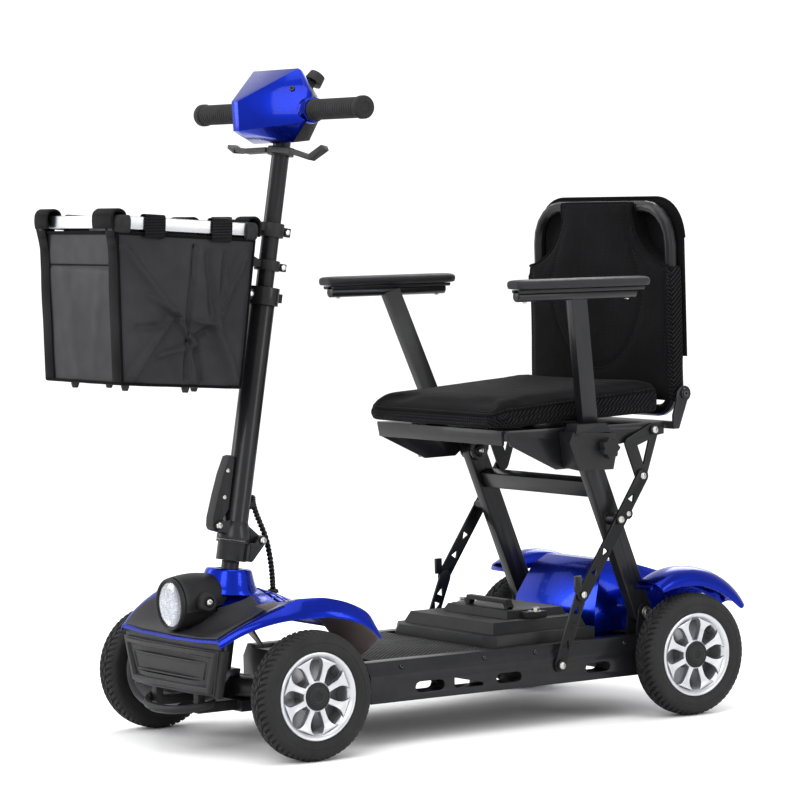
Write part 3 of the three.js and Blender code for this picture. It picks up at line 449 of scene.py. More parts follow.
def obj(name, verts, faces, mat, body=None, node=(), bevel=0, seg=2, sub=0, angle=38, slot=None):
    me = bpy.data.meshes.new(name)
    me.from_pydata([tuple(v) for v in verts], [], faces)
    bm = bmesh.new()
    bm.from_mesh(me)
    bmesh.ops.remove_doubles(bm, verts=bm.verts, dist=1e-6)
    bmesh.ops.recalc_face_normals(bm, faces=bm.faces)
    bm.to_mesh(me)
    bm.free()
    o = bpy.data.objects.new(name, me)
    SC.collection.objects.link(o)
    me.materials.append(M[mat] if isinstance(mat, str) else mat)
    if sub:
        s = o.modifiers.new("sub", "SUBSURF")
        s.levels = s.render_levels = sub
        me.shade_smooth()
    else:
        soften(o, bevel, seg, weld=False)
    if body:
        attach(o, body)
    if node:
        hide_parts(*([node] if isinstance(node, str) else node))
    return o


def basis(axis):
    a = Vector(axis).normalized()
    s = a.orthogonal().normalized()
    return a, s, a.cross(s)


def lathe(profile, centre, axis, seg=48, closed=True, ref=None):
    """verts, faces of a turned solid; profile rows are (distance along the axis, radius) in millimetres"""
    a, s, t = basis(axis)
    if ref is not None:
        s = (Vector(ref) - a * Vector(ref).dot(a)).normalized()
        t = a.cross(s)
    c = Vector(centre)
    v, f, n = [], [], len(profile)
    for k in range(seg):
        q = 2 * math.pi * k / seg
        d = s * math.cos(q) + t * math.sin(q)
        for h, r in profile:
            v.append(c + a * (h / 1000) + d * (r / 1000))
    m = n if closed else n - 1
    for k in range(seg):
        k2 = (k + 1) % seg
        for i in range(m):
            j = (i + 1) % n
            f.append((k * n + i, k2 * n + i, k2 * n + j, k * n + j))
    if not closed:
        f.append(tuple(k * n for k in range(seg)))
        f.append(tuple(k * n + n - 1 for k in reversed(range(seg))))
    return v, f


def join(parts):
    v, f = [], []
    for pv, pf in parts:
        b = len(v)
        v += pv
        f += [tuple(i + b for i in q) for q in pf]
    return v, f


def tube(points, r, seg=10, closed=False, ry=None, up=None):
    """round or oval section swept along points (row frame)"""
    n = len(points)
    v, f = [], []
    prev = Vector(up) if up else None
    for i in range(n):
        a = points[(i - 1) % n] if closed or i else points[0]
        b = points[(i + 1) % n] if closed or i < n - 1 else points[-1]
        t = (Vector(b) - Vector(a)).normalized()
        if prev is None:
            prev = t.orthogonal()
        s = (prev - t * prev.dot(t))
        s = s.normalized() if s.length > 1e-6 else t.orthogonal().normalized()
        if not up:
            prev = s
        w = t.cross(s)
        rr = r[i] if isinstance(r, (list, tuple)) else r
        r2 = rr if ry is None else ry
        for k in range(seg):
            q = 2 * math.pi * k / seg
            v.append(Vector(points[i]) + s * (rr / 1000 * math.cos(q)) + w * (r2 / 1000 * math.sin(q)))
    for i in range(n if closed else n - 1):
        j = (i + 1) % n
        for k in range(seg):
            l = (k + 1) % seg
            f.append((i * seg + k, i * seg + l, j * seg + l, j * seg + k))
    if not closed:
        f.append(tuple(reversed(range(seg))))
        f.append(tuple((n - 1) * seg + k for k in range(seg)))
    return v, f


def prism(points, place, lo, hi):
    """outline (a, b) turned into a slab: place(a, b, h) gives the point"""
    n = len(points)
    v = [place(a, b, lo) for a, b in points] + [place(a, b, hi) for a, b in points]
    f = [tuple(reversed(range(n))), tuple(range(n, 2 * n))]
    f += [(i, (i + 1) % n, n + (i + 1) % n, n + i) for i in range(n)]
    return v, f


def spline(points, n):
    """Catmull-Rom through points, n steps a span"""
    out = []
    p = [Vector(q) for q in points]
    p = [2 * p[0] - p[1]] + p + [2 * p[-1] - p[-2]]
    for i in range(1, len(p) - 2):
        for k in range(n):
            t = k / n
            out.append(0.5 * ((2 * p[i]) + (p[i + 1] - p[i - 1]) * t + (2 * p[i - 1] - 5 * p[i] + 4 * p[i + 1] - p[i + 2]) * t * t + (3 * p[i] - p[i - 1] - 3 * p[i + 1] + p[i + 2]) * t ** 3))
    out.append(p[-2])
    return out


def baked(o, cutters=(), op="DIFFERENCE"):
    """cuts o by the cutters and leaves the result in its mesh"""
    for c in cutters:
        b = o.modifiers.new("cut", "BOOLEAN")
        b.object, b.operation, b.solver = c, op, "EXACT"
    bpy.context.view_layer.update()
    me = bpy.data.meshes.new_from_object(o.evaluated_get(bpy.context.evaluated_depsgraph_get()))
    o.modifiers.clear()
    o.data = me
    for c in cutters:
        bpy.data.objects.remove(c)
    return o


def raw(name, v, f):
    me = bpy.data.meshes.new(name)
    me.from_pydata([tuple(q) for q in v], [], f)
    bm = bmesh.new()
    bm.from_mesh(me)
    bmesh.ops.remove_doubles(bm, verts=bm.verts, dist=1e-6)
    bmesh.ops.recalc_face_normals(bm, faces=bm.faces)
    bm.to_mesh(me)
    bm.free()
    o = bpy.data.objects.new(name, me)
    SC.collection.objects.link(o)
    return o


def hexbolt(c, axis, r=5, h=4, washer=None):
    parts = []
    base = 0
    if washer:
        parts.append(lathe([(0, 0.5), (0, washer), (0.9, washer), (1.2, washer - 0.5), (1.2, 0.5)], c, axis, 24, False))
        base = 1.2
    parts.append(lathe([(base, 0.3), (base, r), (base + h - 0.8, r), (base + h, r - 0.9), (base + h, 0.3)], c, axis, 6, False))
    return join(parts)


def button(c, axis, r=5, h=3):
    """round headed screw with a round socket recess"""
    dome = lathe([(0, 0.3), (0, r), (h * 0.5, r * 0.97), (h * 0.85, r * 0.75), (h, r * 0.5), (h * 0.99, r * 0.46), (h * 0.35, r * 0.42), (h * 0.35, 0.2)], c, axis, 24, False)
    return dome


# ------------------------------------------------------------------ wheels
def tyre_mesh(y, out, s, seed):
    prof = [(5, 69), (3.2, 72), (1.6, 77), (0.7, 81), (0.9, 82.2), (0.2, 83), (0, 87), (0.9, 90.5), (2.4, 93), (4, 95), (6, 96.6), (8.5, 97.9), (11, 98.8), (13.5, 99.4), (16, 99.7), (18, 99.85)]
    mid = [19.3, 20.6, 21.9, 23.2, 24.4, 25.6, 26.8, 28.1, 29.4, 30.7]
    prof = prof + [(h, 100) for h in mid] + [(50 - h, r) for h, r in reversed(prof)]
    N, n, v, f = 360, len(prof), [], []
    cx = s * (out - 50)
    for k in range(N):
        q = 2 * math.pi * k / N
        for h, r in prof:
            d = abs(h - 25)
            if r > 93:
                if d > 6.5:
                    if (k + seed + d * 0.3) % 6 < 1.9:
                        r -= 2.8 if r > 97 else 1.3
                else:
                    zig = 3.2 * (2 * abs(((k + seed) / 12) % 1 - 0.5) * 2 - 1)
                    if abs((h - 25) - zig) < 1.5 or d > 5.6:
                        r -= 2.8
            v.append(P(cx + s * h, y + r * math.cos(q), 100 + r * math.sin(q)))
    for k in range(N):
        k2 = (k + 1) % N
        for i in range(n):
            j = (i + 1) % n
            f.append((k * n + i, k2 * n + i, k2 * n + j, k * n + j))
    return v, f


def wheel(end, side, y, out):
    s = 1 if side == "left" else -1
    body = f"wheel_{end}_{side}"
    obj(f"{end}_{side}_tyre_tread", *tyre_mesh(y, out, s, 0 if end == "front" else 3), "tyre", body, f"{end}_tyre_{side}")
    c = P(s * (out - 50), y, 100)
    ax = (s, 0, 0)
    ring = lathe([(34, 68.6), (34, 56), (37, 56), (39.5, 57.8), (42, 60), (44.6, 62), (46.2, 64.5), (46.6, 66.5), (45.4, 68.6)], c, ax, 96)
    hub = lathe([(10, 8.8), (10, 22), (14, 24), (29.6, 24), (29.6, 8.8)], c, ax, 48)
    parts = [ring]
    obj(f"{end}_{side}_rim_barrel", *join([lathe([(5, 68.6), (5, 61), (8, 57), (20, 55), (33.8, 55.6), (33.8, 68.6)], c, ax, 72), hub, lathe([(10.4, 8.8), (10.4, 30), (8.4, 38), (8.4, 58), (11, 58), (11, 39), (13, 31), (13, 8.8)], c, ax, 72)]), "barrel", body, slot="rim_silver")
    for k in range(8):
        t = k * math.pi / 4 + math.pi / 8
        ct, st = math.cos(t), math.sin(t)
        half = [(14, 6.0), (24, 4.8), (34, 4.6), (43, 5.2), (48, 6.8), (52, 9.6), (55, 13.2), (57.4, 17.6)]
        outline = half + [(r, -w) for r, w in reversed(half)]

        def place(r, w, h, ct=ct, st=st):
            lift = 0 if r < 20 else -2.6 * math.sin((min(r, 56) - 20) / 36 * math.pi)
            return P(s * (out - 50 + h + (lift if h > 38 else 0)), y + r * ct - w * st, 100 + r * st + w * ct)

        parts.append(prism(outline, place, 31, 43))
    parts.append(lathe([(29.8, 8.8), (29.8, 24.5), (40, 24.5), (42.6, 23), (43.2, 20), (43.2, 8.8)], c, ax, 48))
    o = obj(f"{end}_{side}_rim_spokes", *join(parts), "rim", body, f"{end}_rim_{side}", bevel=0.0014, seg=3)
    cap = lathe([(43, 0.3), (43, 18), (45.2, 17.6), (46.8, 15.6), (48, 13.2), (48, 9.5), (47.2, 8.8), (47.2, 0.3)], c, ax, 8, False)
    nut = lathe([(42, 0.3), (42, 22), (44.2, 21.6), (44.8, 20.4), (44.8, 0.3)], c, ax, 48, False)
    obj(f"{end}_{side}_hub_cap", *join([nut, cap]), "plastic", body, bevel=0.0007, slot="plastic_black")
    valve = tube([P(s * (out - 50 + 40), y + 54 * math.cos(0.95), 100 + 54 * math.sin(0.95)), P(s * (out - 50 + 44), y + 47 * math.cos(0.95), 100 + 47 * math.sin(0.95)), P(s * (out - 50 + 46), y + 41 * math.cos(0.95), 100 + 41 * math.sin(0.95))], 2.6, 12)
    obj(f"{end}_{side}_valve", *valve, "tyre", body, slot="tyre_rubber")


for side in ("left", "right"):
    wheel("front", side, 0, 256)
    wheel("rear", side, 740, 250)

# ------------------------------------------------------------------ CAD nodes that keep their shape
for name, mat, bv in (
    ("floor_frame", "frame", 0.0022), ("front_axle_beam", "frame", 0.001), ("motor_gearbox", "plastic", 0.0015),
    ("steering_stem", "steel", 0.0004), ("hinge_casting", "frame", 0.0014), ("steering_knuckle_left", "steel", 0.0008), ("steering_knuckle_right", "steel", 0.0008),
    ("tie_rod", "steel", 0.0005), ("lower_tube", "frame", 0.0009), ("height_clamp", "frame", 0.001), ("upper_tube", "frame", 0.0006), ("fold_lever", "plastic", 0.003),
    ("basket_bracket", "plastic", 0.0008), ("throttle_lever", "plastic", 0.0026), ("speed_knob", "plastic", 0.001),
    ("seat_leg_left", "frame", 0.0022), ("seat_leg_right", "frame", 0.0022), ("leg_crossbar", "frame", 0.0022),
    ("upper_link_left", "steel", 0.0006), ("upper_link_right", "steel", 0.0006), ("lower_link_left", "steel", 0.0006), ("lower_link_right", "steel", 0.0006),
    ("seat_bracket_left", "steel", 0.0006), ("seat_bracket_right", "steel", 0.0006), ("seat_pan", "frame", 0.0012), ("back_frame", "frame", 0.0006),
    ("arm_socket_left", "plastic", 0.0045), ("arm_socket_right", "plastic", 0.0045), ("arm_post_left", "frame", 0.0022), ("arm_post_right", "frame", 0.0022),
    ("arm_knob_left", "plastic", 0.0014), ("arm_knob_right", "plastic", 0.0014),
    ("front_bumper", "bumper", 0.0022), ("bumper_loop", "plastic", 0.0006), ("headlight_housing", "plastic", 0.0022),
    ("battery_box", "plastic", 0.0022), ("rear_cover", "blue", 0.003), ("head_front_shell", "blue", 0.0042), ("head_rear_shell", "plastic", 0.0035), ("basket_rim", "band", 0.0014),
):
    cad(name, mat, bv, 3)

# ------------------------------------------------------------------ rear mudguards, crowned with turned-down sides
def mudguard(side):
    s = 1 if side == "left" else -1
    top = [(237, 111), (238, 118), (237, 126), (233, 133), (226, 138), (214, 141.4), (200, 142.4), (188, 141), (180, 137), (176.4, 130), (175.6, 122), (175.4, 112)]
    low = [(178, 112), (178.2, 122), (179, 129), (182.4, 134), (189, 138), (200, 139.8), (213, 138.8), (224, 135.4), (230.6, 131), (234.4, 125), (235.4, 118), (234.6, 111)]
    ring = top + low
    n, rows, v, f = len(ring), 45, [], []
    for j in range(rows):
        t = j / (rows - 1)
        a = 0.575 + t * (2.10 - 0.575)
        k = 0.40 + 0.60 * math.sin(math.pi * min(1, max(0, t))) ** 0.6
        for x, r in ring:
            rr = r if r > 130 else 130 - (130 - r) * k
            v.append(P(s * x, 740 + rr * math.cos(a), 100 + rr * math.sin(a)))
    for j in range(rows - 1):
        for i in range(n):
            i2 = (i + 1) % n
            f.append((j * n + i, j * n + i2, (j + 1) * n + i2, (j + 1) * n + i))
    for j in (0, rows - 1):
        for i in range(len(top) - 1):
            f.append((j * n + i, j * n + i + 1, j * n + n - 2 - i, j * n + n - 1 - i))
    obj(f"mudguard_rear_{side}", v, f, "blue", "chassis", slot="shell_blue", bevel=0.0005)


for side in ("left", "right"):
    mudguard(side)

# ------------------------------------------------------------------ front body shell
COWL = [
    (-112, 146, 184, 150, 176, 181, 180), (-83, 160, 203, 166, 195, 186, 190), (-50, 172, 220, 183, 209, 196, 225),
    (-18, 181, 233, 197, 216, 212, 250), (12, 188, 243, 205, 218, 222, 252), (42, 194, 243, 210, 218, 222, 243),
    (75, 200, 237, 214, 213, 215, 232), (106, 204, 225, 215, 203, 206, 217), (124, 206, 213, 215, 192, 197, 205), (141, 207, 186, 215, 176, 183, 183)]


def row(y, c):
    """monotone cubic through the stations"""
    k = COWL
    if y <= k[0][0]:
        return k[0][c]
    for i in range(1, len(k)):
        if y <= k[i][0]:
            h = k[i][0] - k[i - 1][0]
            d = (k[i][c] - k[i - 1][c]) / h

            def slope(j):
                if j <= 0 or j >= len(k) - 1:
                    m = min(max(j, 1), len(k) - 1)
                    return (k[m][c] - k[m - 1][c]) / (k[m][0] - k[m - 1][0])
                a = (k[j][c] - k[j - 1][c]) / (k[j][0] - k[j - 1][0])
                b = (k[j + 1][c] - k[j][c]) / (k[j + 1][0] - k[j][0])
                return 0 if a * b <= 0 else 2 * a * b / (a + b)

            m0, m1 = slope(i - 1), slope(i)
            t = (y - k[i - 1][0]) / h
            return (2 * t ** 3 - 3 * t * t + 1) * k[i - 1][c] + (t ** 3 - 2 * t * t + t) * h * m0 + (-2 * t ** 3 + 3 * t * t) * k[i][c] + (t ** 3 - t * t) * h * m1
    return k[-1][c]


def ease(t):
    return (1 - math.cos(max(0, min(1, t)) * math.pi)) / 2


def cowl_z(a, y):
    return row(y, 6) + (row(y, 5) - row(y, 6)) * ease(a / 0.5) if a < 0.5 else row(y, 5) + (row(y, 2) - row(y, 5)) * ease((a - 0.5) / 0.5)


def cowl_point(u, y, lift=0):
    a = abs(u)
    if a > 1:
        w = (a - 1) / 0.2
        x = row(y, 1) + (row(y, 3) - row(y, 1)) * w
        z = row(y, 2) + (row(y, 4) - row(y, 2)) * w + 1.6 * math.sin(w * math.pi)
        return P(math.copysign(x, u), y, z + lift)
    return P(u * row(y, 1), y, cowl_z(a, y) + lift)


def shell(name, us, ys, thick, lift=0):
    v, f = [], []
    nu, nv = len(us), len(ys)
    for low in (0, thick):
        for y in ys:
            for u in us:
                q = cowl_point(u, y, lift)
                v.append(q - Vector((0, 0, low / 1000)))
    at = lambda l, i, j: l * nu * nv + j * nu + i
    for j in range(nv - 1):
        for i in range(nu - 1):
            f.append((at(0, i, j), at(0, i + 1, j), at(0, i + 1, j + 1), at(0, i, j + 1)))
            f.append((at(1, i, j), at(1, i, j + 1), at(1, i + 1, j + 1), at(1, i + 1, j)))
    for i in range(nu - 1):
        f.append((at(1, i, 0), at(1, i + 1, 0), at(0, i + 1, 0), at(0, i, 0)))
        f.append((at(0, i, nv - 1), at(0, i + 1, nv - 1), at(1, i + 1, nv - 1), at(1, i, nv - 1)))
    for j in range(nv - 1):
        f.append((at(0, 0, j), at(0, 0, j + 1), at(1, 0, j + 1), at(1, 0, j)))
        f.append((at(1, nu - 1, j), at(1, nu - 1, j + 1), at(0, nu - 1, j + 1), at(0, nu - 1, j)))
    return raw(name, v, f)


def lin(a, b, n):
    return [a + (b - a) * i / (n - 1) for i in range(n)]


US = lin(-1.2, -1, 5)[:-1] + lin(-1, 1, 57) + lin(1, 1.2, 5)[1:]
YS = lin(-112, 141, 60)


def post(name, a, b, r, seg=48, r2=None):
    a, b = Vector(a), Vector(b)
    v, f = lathe([(0, r), ((b - a).length * 1000, r2 or r)], a, b - a, seg, False)
    return raw(name, v, f)


def finish_piece(o, mat, body, node=(), bevel=0.0008, seg=2, angle=30):
    o.data.materials.clear()
    o.data.materials.append(M[mat])
    soften(o, bevel, seg, weld=True, angle=angle)
    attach(o, body)
    if node:
        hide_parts(*([node] if isinstance(node, str) else node))
    return o


cowl = shell("cowl_shell", US, YS, 4.5)
baked(cowl, [post("c1", P(0, -200, 228), P(0, -46, 228), 41), post("c2", P(0, -5, 200), P(0, -3, 300), 33)])
finish_piece(cowl, "blue", "chassis", "front_cowl", 0.0012, 2, angle=50)
# hump with its flutes, open at the top for the stem
hv, hf = lathe([(0, 50), (3, 49.5), (10, 46), (22, 41.5), (34, 38), (38.5, 36.4), (40.5, 34), (40.5, 20.5), (30, 20.5), (30, 31), (2, 44)], P(0, -5, 237), P(0, -1, 277) - P(0, -5, 236), 16, ref=(1, 0.2, 0))
obj("cowl_hump", hv, hf, "blue", "chassis", bevel=0.0022, seg=3, slot="shell_blue")
# liners over the front wheels, from the fender edge in to the arch
for s_ in (1, -1):
    v, f = [], []
    ny_, nx_ = 40, 14
    for i in range(ny_ + 1):
        y = -30 + 169 * i / ny_
        xo, zo = row(y, 3) - 2.2, row(y, 4) - 1.2
        r_in = 133.0
        zi = 100 + math.sqrt(max(r_in ** 2 - min(abs(y), r_in - 0.5) ** 2, 0))
        if y > 118:
            zi = 100 + math.sqrt(r_in ** 2 - 118 ** 2) * max(0.0, 1 - (y - 118) / 40)
        for j in range(nx_ + 1):
            t = j / nx_
            bow = math.sin(t * math.pi) * 5
            v.append(P(s_ * (122 + (xo - 122) * t), y, zi + (zo - zi) * t ** 1.6 + bow * 0.4))
    for i in range(ny_):
        for j in range(nx_):
            a = i * (nx_ + 1) + j
            f.append((a, a + 1, a + nx_ + 2, a + nx_ + 1))
    o = obj("liner_left" if s_ > 0 else "liner_right", v, f, "liner", "chassis", slot="shell_blue")
    so = o.modifiers.new("thick", "SOLIDIFY")
    so.thickness = 0.002
# dark lip that closes the gap between the bumper and the shell
v, f = [], []
lipn = 24
for i in range(lipn + 1):
    x = -143 + 286 * i / lipn
    yy = -109 + (3.5 if abs(x) > 60 else 0) * (abs(x) - 60) / 83 - (6 if abs(x) <= 60 else 0) * 0
    top_z = cowl_z(min(1, abs(x) / 146), -111) - 3.5
    for y_, z_ in ((yy - 1.5, 160), (yy - 1.5, top_z), (yy + 3, top_z), (yy + 3, 160)):
        v.append(P(x, y_, z_))
for i in range(lipn):
    for k_ in range(4):
        a, b_ = i * 4 + k_, i * 4 + (k_ + 1) % 4
        f.append((a, b_, b_ + 4, a + 4))
f.append((3, 2, 1, 0))
f.append(tuple(lipn * 4 + q for q in range(4)))
obj("bumper_lip", v, f, "bumper", "chassis", bevel=0.0008, slot="plastic_black")


def bumper_y(x, z, out):
    return -(115 + (z - 96) / 72 * 2 - (max(0.0, abs(x) - 60) / 84 * 7)) - out


def frame_on_bumper(name, outer, inner, out):
    v, f, n = [], [], len(outer)
    for (xo, zo), (xi, zi) in zip(outer, inner):
        cx, cz = (xo * 0.8 + xi * 0.2), (zo * 0.8 + zi * 0.2)
        dx, dz = (xo * 0.25 + xi * 0.75), (zo * 0.25 + zi * 0.75)
        v += [P(xo, bumper_y(xo, zo, -2.5), zo), P(cx, bumper_y(cx, cz, out), cz), P(dx, bumper_y(dx, dz, out), dz), P(xi, bumper_y(xi, zi, -2.5), zi)]
    for i in range(n):
        j = (i + 1) % n
        for k_ in range(4):
            l_ = (k_ + 1) % 4
            f.append((i * 4 + k_, j * 4 + k_, j * 4 + l_, i * 4 + l_))
    return obj(name, v, f, "bumper", "chassis", bevel=0.0009, slot="plastic_black")


frame_on_bumper("bumper_frame", [(-141, 167), (-60, 167), (60, 167), (141, 167), (117, 98), (60, 98), (-60, 98), (-117, 98)], [(-124, 156), (-60, 156), (60, 156), (124, 156), (107, 112), (60, 112), (-60, 112), (-107, 112)], 3.4)
frame_on_bumper("bumper_inner_frame", [(-112, 149), (-60, 149), (60, 149), (112, 149), (101, 119), (60, 119), (-60, 119), (-101, 119)], [(-106, 145), (-60, 145), (60, 145), (106, 145), (97, 123), (60, 123), (-60, 123), (-97, 123)], 1.2)

ins = shell("cowl_insert_panel", lin(-1, 1, 57), lin(-112, 20, 40), 2.6, 2.9)
plan = [(138, -109), (150, -84), (158, -56), (148, -30), (116, -4), (60, 8), (-60, 8), (-116, -4), (-148, -30), (-158, -56), (-150, -84), (-138, -109)]
keep = raw("k", *prism(plan, lambda a, b, h: P(a, b, h), 140, 320))
baked(ins, [keep], "INTERSECT")
baked(ins, [post("c1", P(0, -200, 228), P(0, -46, 228), 41), post("c2", P(0, -6, 200), P(0, -6, 300), 53)])
finish_piece(ins, "insert", "chassis", "cowl_insert", 0.0009, 2, angle=50)

# block pattern on the deck behind the hump
blocks = []
for j, y in enumerate((52, 66, 80, 94, 107)):
    for i in range(-4, 5):
        u0, u1 = (i - 0.44) * 0.105, (i + 0.44) * 0.105
        y0, y1 = y - 5.6, y + 5.6
        pts = []
        for du, dy in ((0, 0), (1, 0), (1, 1), (0, 1)):
            u, yy = u0 + (u1 - u0) * du, y0 + (y1 - y0) * dy
            pts.append((u, yy))
        lo = [cowl_point(u, yy, -1.5) for u, yy in pts]
        cu, cy = (u0 + u1) / 2, y
        hi = [cowl_point(cu + (u - cu) * 0.86, cy + (yy - cy) * 0.82, 2.4) for u, yy in pts]
        blocks.append((lo + hi, [(3, 2, 1, 0), (4, 5, 6, 7), (0, 1, 5, 4), (1, 2, 6, 5), (2, 3, 7, 6), (3, 0, 4, 7)]))
obj("deck_blocks", *join(blocks), "blue", "chassis", bevel=0.0007, slot="shell_blue")

# ------------------------------------------------------------------ headlamp
c = P(0, -108, 228)
ax = (0, -1, 0)
obj("lamp_ring", *lathe([(-2, 35), (-2, 41), (1.5, 41.2), (3.6, 40), (4.2, 38.4), (3.4, 36.4), (0.5, 35)], c, ax, 64), "plastic", "chassis", slot="plastic_black")
obj("lamp_glass", *lathe([(-1, 0.2), (-1, 35), (1.2, 34.6), (3.2, 30), (4.4, 22), (4.9, 12), (5, 0.2)], c, ax, 64, False), "glass", "chassis", "headlight_lens")
cells = [lathe([(-9, 0.3), (-9, 34.4), (-3, 34.6), (-3, 33.4), (-6, 32.8), (-6, 0.3)], c, ax, 48, False)]
for k in range(9):
    r, t = (0, 0) if k == 8 else (21.5, 2 * math.pi * k / 8)
    q = P(r * math.cos(t), -108, 228 + r * math.sin(t))
    cells.append(lathe([(-7, 0.3), (-7, 7.4), (-2.2, 7.8), (-2.0, 7.0), (-5, 5.4), (-5.4, 3.2), (-3.6, 2.4), (-3.0, 0.3)], q, ax, 20, False))
obj("lamp_cells", *join(cells), "led", "chassis", slot="lens_clear")
# side boss with its clamp screw, and the dome that runs back to the body
for s in (1, -1):
    a = P(s * 34, -70, 232)
    obj("lamp_boss_left" if s > 0 else "lamp_boss_right", *lathe([(0, 17), (12, 16), (20, 14.5), (22.5, 12.5), (22.5, 8.5), (21, 8), (21, 0.3)][0:7], a, (s, -0.1, 0.06), 32, False), "plastic", "chassis", slot="plastic_black")
dome = []
for i in range(13):
    t = i / 12
    r = 42.5 + 2.5 * math.sin(t * math.pi) - 9 * t * t
    dome.append((t * 78, r))
v, f = [], []
for i, (h, r) in enumerate(dome):
    for k in range(41):
        q = math.pi * (k / 40) * 1.16 - 0.25
        v.append(P(r * math.cos(q) * (1 + 0.0 * i), -104 + h, 228 + r * math.sin(q) + 0.10 * h))
for i in range(12):
    for k in range(40):
        a = i * 41 + k
        f.append((a, a + 1, a + 42, a + 41))
o = obj("lamp_dome", v, f, "plastic", "chassis", slot="plastic_black")
so = o.modifiers.new("thick", "SOLIDIFY")
so.thickness = 0.0025
o.modifiers.move(1, 0) if len(o.modifiers) > 1 else None

# ------------------------------------------------------------------ floor mat with diagonal ribs
v, f = [], []
nx, ny = 199, 148
for j in range(ny):
    for i in range(nx):
        x, y = -149 + 298 * i / (nx - 1), 172 + 220 * j / (ny - 1)
        edge = min(x + 149, 149 - x, y - 172, 392 - y)
        w = ((x + y) / 9.0) % 1
        h = 1.3 * min(1, max(0, 0.5 - abs(w - 0.5)) * 5) if edge > 6 else 0.9
        v.append(P(x, y, 129.7 + h * min(1, edge / 1.2)))
n0 = len(v)
v += [P(-149, 172, 125.5), P(149, 172, 125.5), P(149, 392, 125.5), P(-149, 392, 125.5)]
for j in range(ny - 1):
    for i in range(nx - 1):
        a = j * nx + i
        f.append((a, a + 1, a + nx + 1, a + nx))
f.append(tuple([n0 + 1, n0] + [i for i in range(nx)])[0:2] + tuple(i for i in range(nx)))
f.append((n0 + 3, n0 + 2) + tuple((ny - 1) * nx + i for i in reversed(range(nx))))
f.append((n0, n0 + 3) + tuple(j * nx for j in reversed(range(ny))))
f.append((n0 + 2, n0 + 1) + tuple(j * nx + nx - 1 for j in range(ny)))
f.append((n0, n0 + 1, n0 + 2, n0 + 3))
obj("ribbed_mat", v, f, "rubber", "chassis", "floor_mat")


# ------------------------------------------------------------------ padded pieces
def voxel(o, size):
    m = o.modifiers.new("remesh", "REMESH")
    m.mode, m.voxel_size = "VOXEL", size
    baked(o)
    o.data.shade_smooth()
    return o


def puff(o, cap, size=0.006, pressure=4.0, frames=20, pin=None):
    """swells a closed form with a short cloth simulation, capped, and leaves only the mesh"""
    voxel(o, size)
    me = o.data
    rest = [v.co.copy() for v in me.vertices]
    if pin:
        g = o.vertex_groups.new(name="pin")
        for i, p in enumerate(rest):
            w = pin(p)
            if w > 0:
                g.add([i], w, "REPLACE")
    m = o.modifiers.new("cloth", "CLOTH")
    cs = m.settings
    cs.quality, cs.mass = 5, 0.3
    cs.tension_stiffness = cs.compression_stiffness = 15
    cs.bending_stiffness = 0.5
    cs.use_pressure, cs.uniform_pressure_force = True, pressure
    cs.effector_weights.gravity = 0
    if pin:
        cs.vertex_group_mass = "pin"
    m.point_cache.frame_start, m.point_cache.frame_end = 1, frames
    for k in range(1, frames + 1):
        SC.frame_set(k)
    ev = o.evaluated_get(bpy.context.evaluated_depsgraph_get())
    moved = [v.co.copy() for v in ev.to_mesh().vertices]
    ev.to_mesh_clear()
    o.modifiers.clear()
    o.vertex_groups.clear()
    SC.frame_set(1)
    for v, p, q in zip(me.vertices, rest, moved):
        d = q - p
        if d.length > cap:
            d *= cap / d.length
        v.co = p + d
    me.update()
    return o


def seam(o, paths, width, depth, want=None):
    """sinks the surface along each path"""
    me = o.data
    nrm = [n.vector.copy() for n in me.vertex_normals]
    segs = []
    for p in paths:
        segs += [(Vector(a), Vector(b)) for a, b in zip(p[:-1], p[1:])]
    for v, n in zip(me.vertices, nrm):
        if want and not want(v.co, n):
            continue
        best = 1e9
        for a, b in segs:
            if abs(a.x - v.co.x) > 0.05 or abs(a.z - v.co.z) > 0.05 or abs(a.y - v.co.y) > 0.05:
                continue
            ab = b - a
            t = max(0, min(1, (v.co - a).dot(ab) / max(ab.length_squared, 1e-12)))
            best = min(best, (a + ab * t - v.co).length)
        if best < width * 3:
            v.co -= n * depth * math.exp(-(best / width) ** 2)
    me.update()


def zb(y):
    return 483.5 + (y - 389) * 0.036


def zt(y):
    z = 522.5 + (y - 420) * 0.0714
    return z - (9 * ((420 - y) / 34) ** 2 if y < 420 else 0)


def plan_ring(inset, hw=192, y0=385, y1=724.5, rf=28, rr=24):
    out = []
    hw, y0, y1 = hw - inset, y0 + inset, y1 - inset
    rf, rr = max(rf - inset * 0.6, 4), max(rr - inset * 0.6, 4)
    for cx, cy, r, a0 in ((hw - rf, y0 + rf, rf, -90), (hw - rr, y1 - rr, rr, 0), (-hw + rr, y1 - rr, rr, 90), (-hw + rf, y0 + rf, rf, 180)):
        for k in range(9):
            a = math.radians(a0 + 90 * k / 8)
            out.append((cx + r * math.cos(a), cy + r * math.sin(a)))
    return out


levels = [(13, 0.0), (4, 0.04), (0.3, 0.2), (-1.0, 0.45), (-0.6, 0.68), (2.4, 0.86), (7, 0.96), (16, 1.01), (60, 1.05)]
v, f = [], []
for inset, fr in levels:
    for x, y in plan_ring(inset):
        v.append(P(x, y, zb(y) + (zt(y) - zb(y)) * fr))
n = len(plan_ring(0))
for i in range(len(levels) - 1):
    for k in range(n):
        l = (k + 1) % n
        f.append((i * n + k, i * n + l, (i + 1) * n + l, (i + 1) * n + k))
f.append(tuple(reversed(range(n))))
f.append(tuple((len(levels) - 1) * n + k for k in range(n)))
cushion = raw("seat_pad", v, f)


def cushion_pin(p):
    y = p.y * 1000 + YC
    z = p.z * 1000
    b, t = zb(y), zt(y)
    if z < b + 3:
        return 1.0
    return 0.0


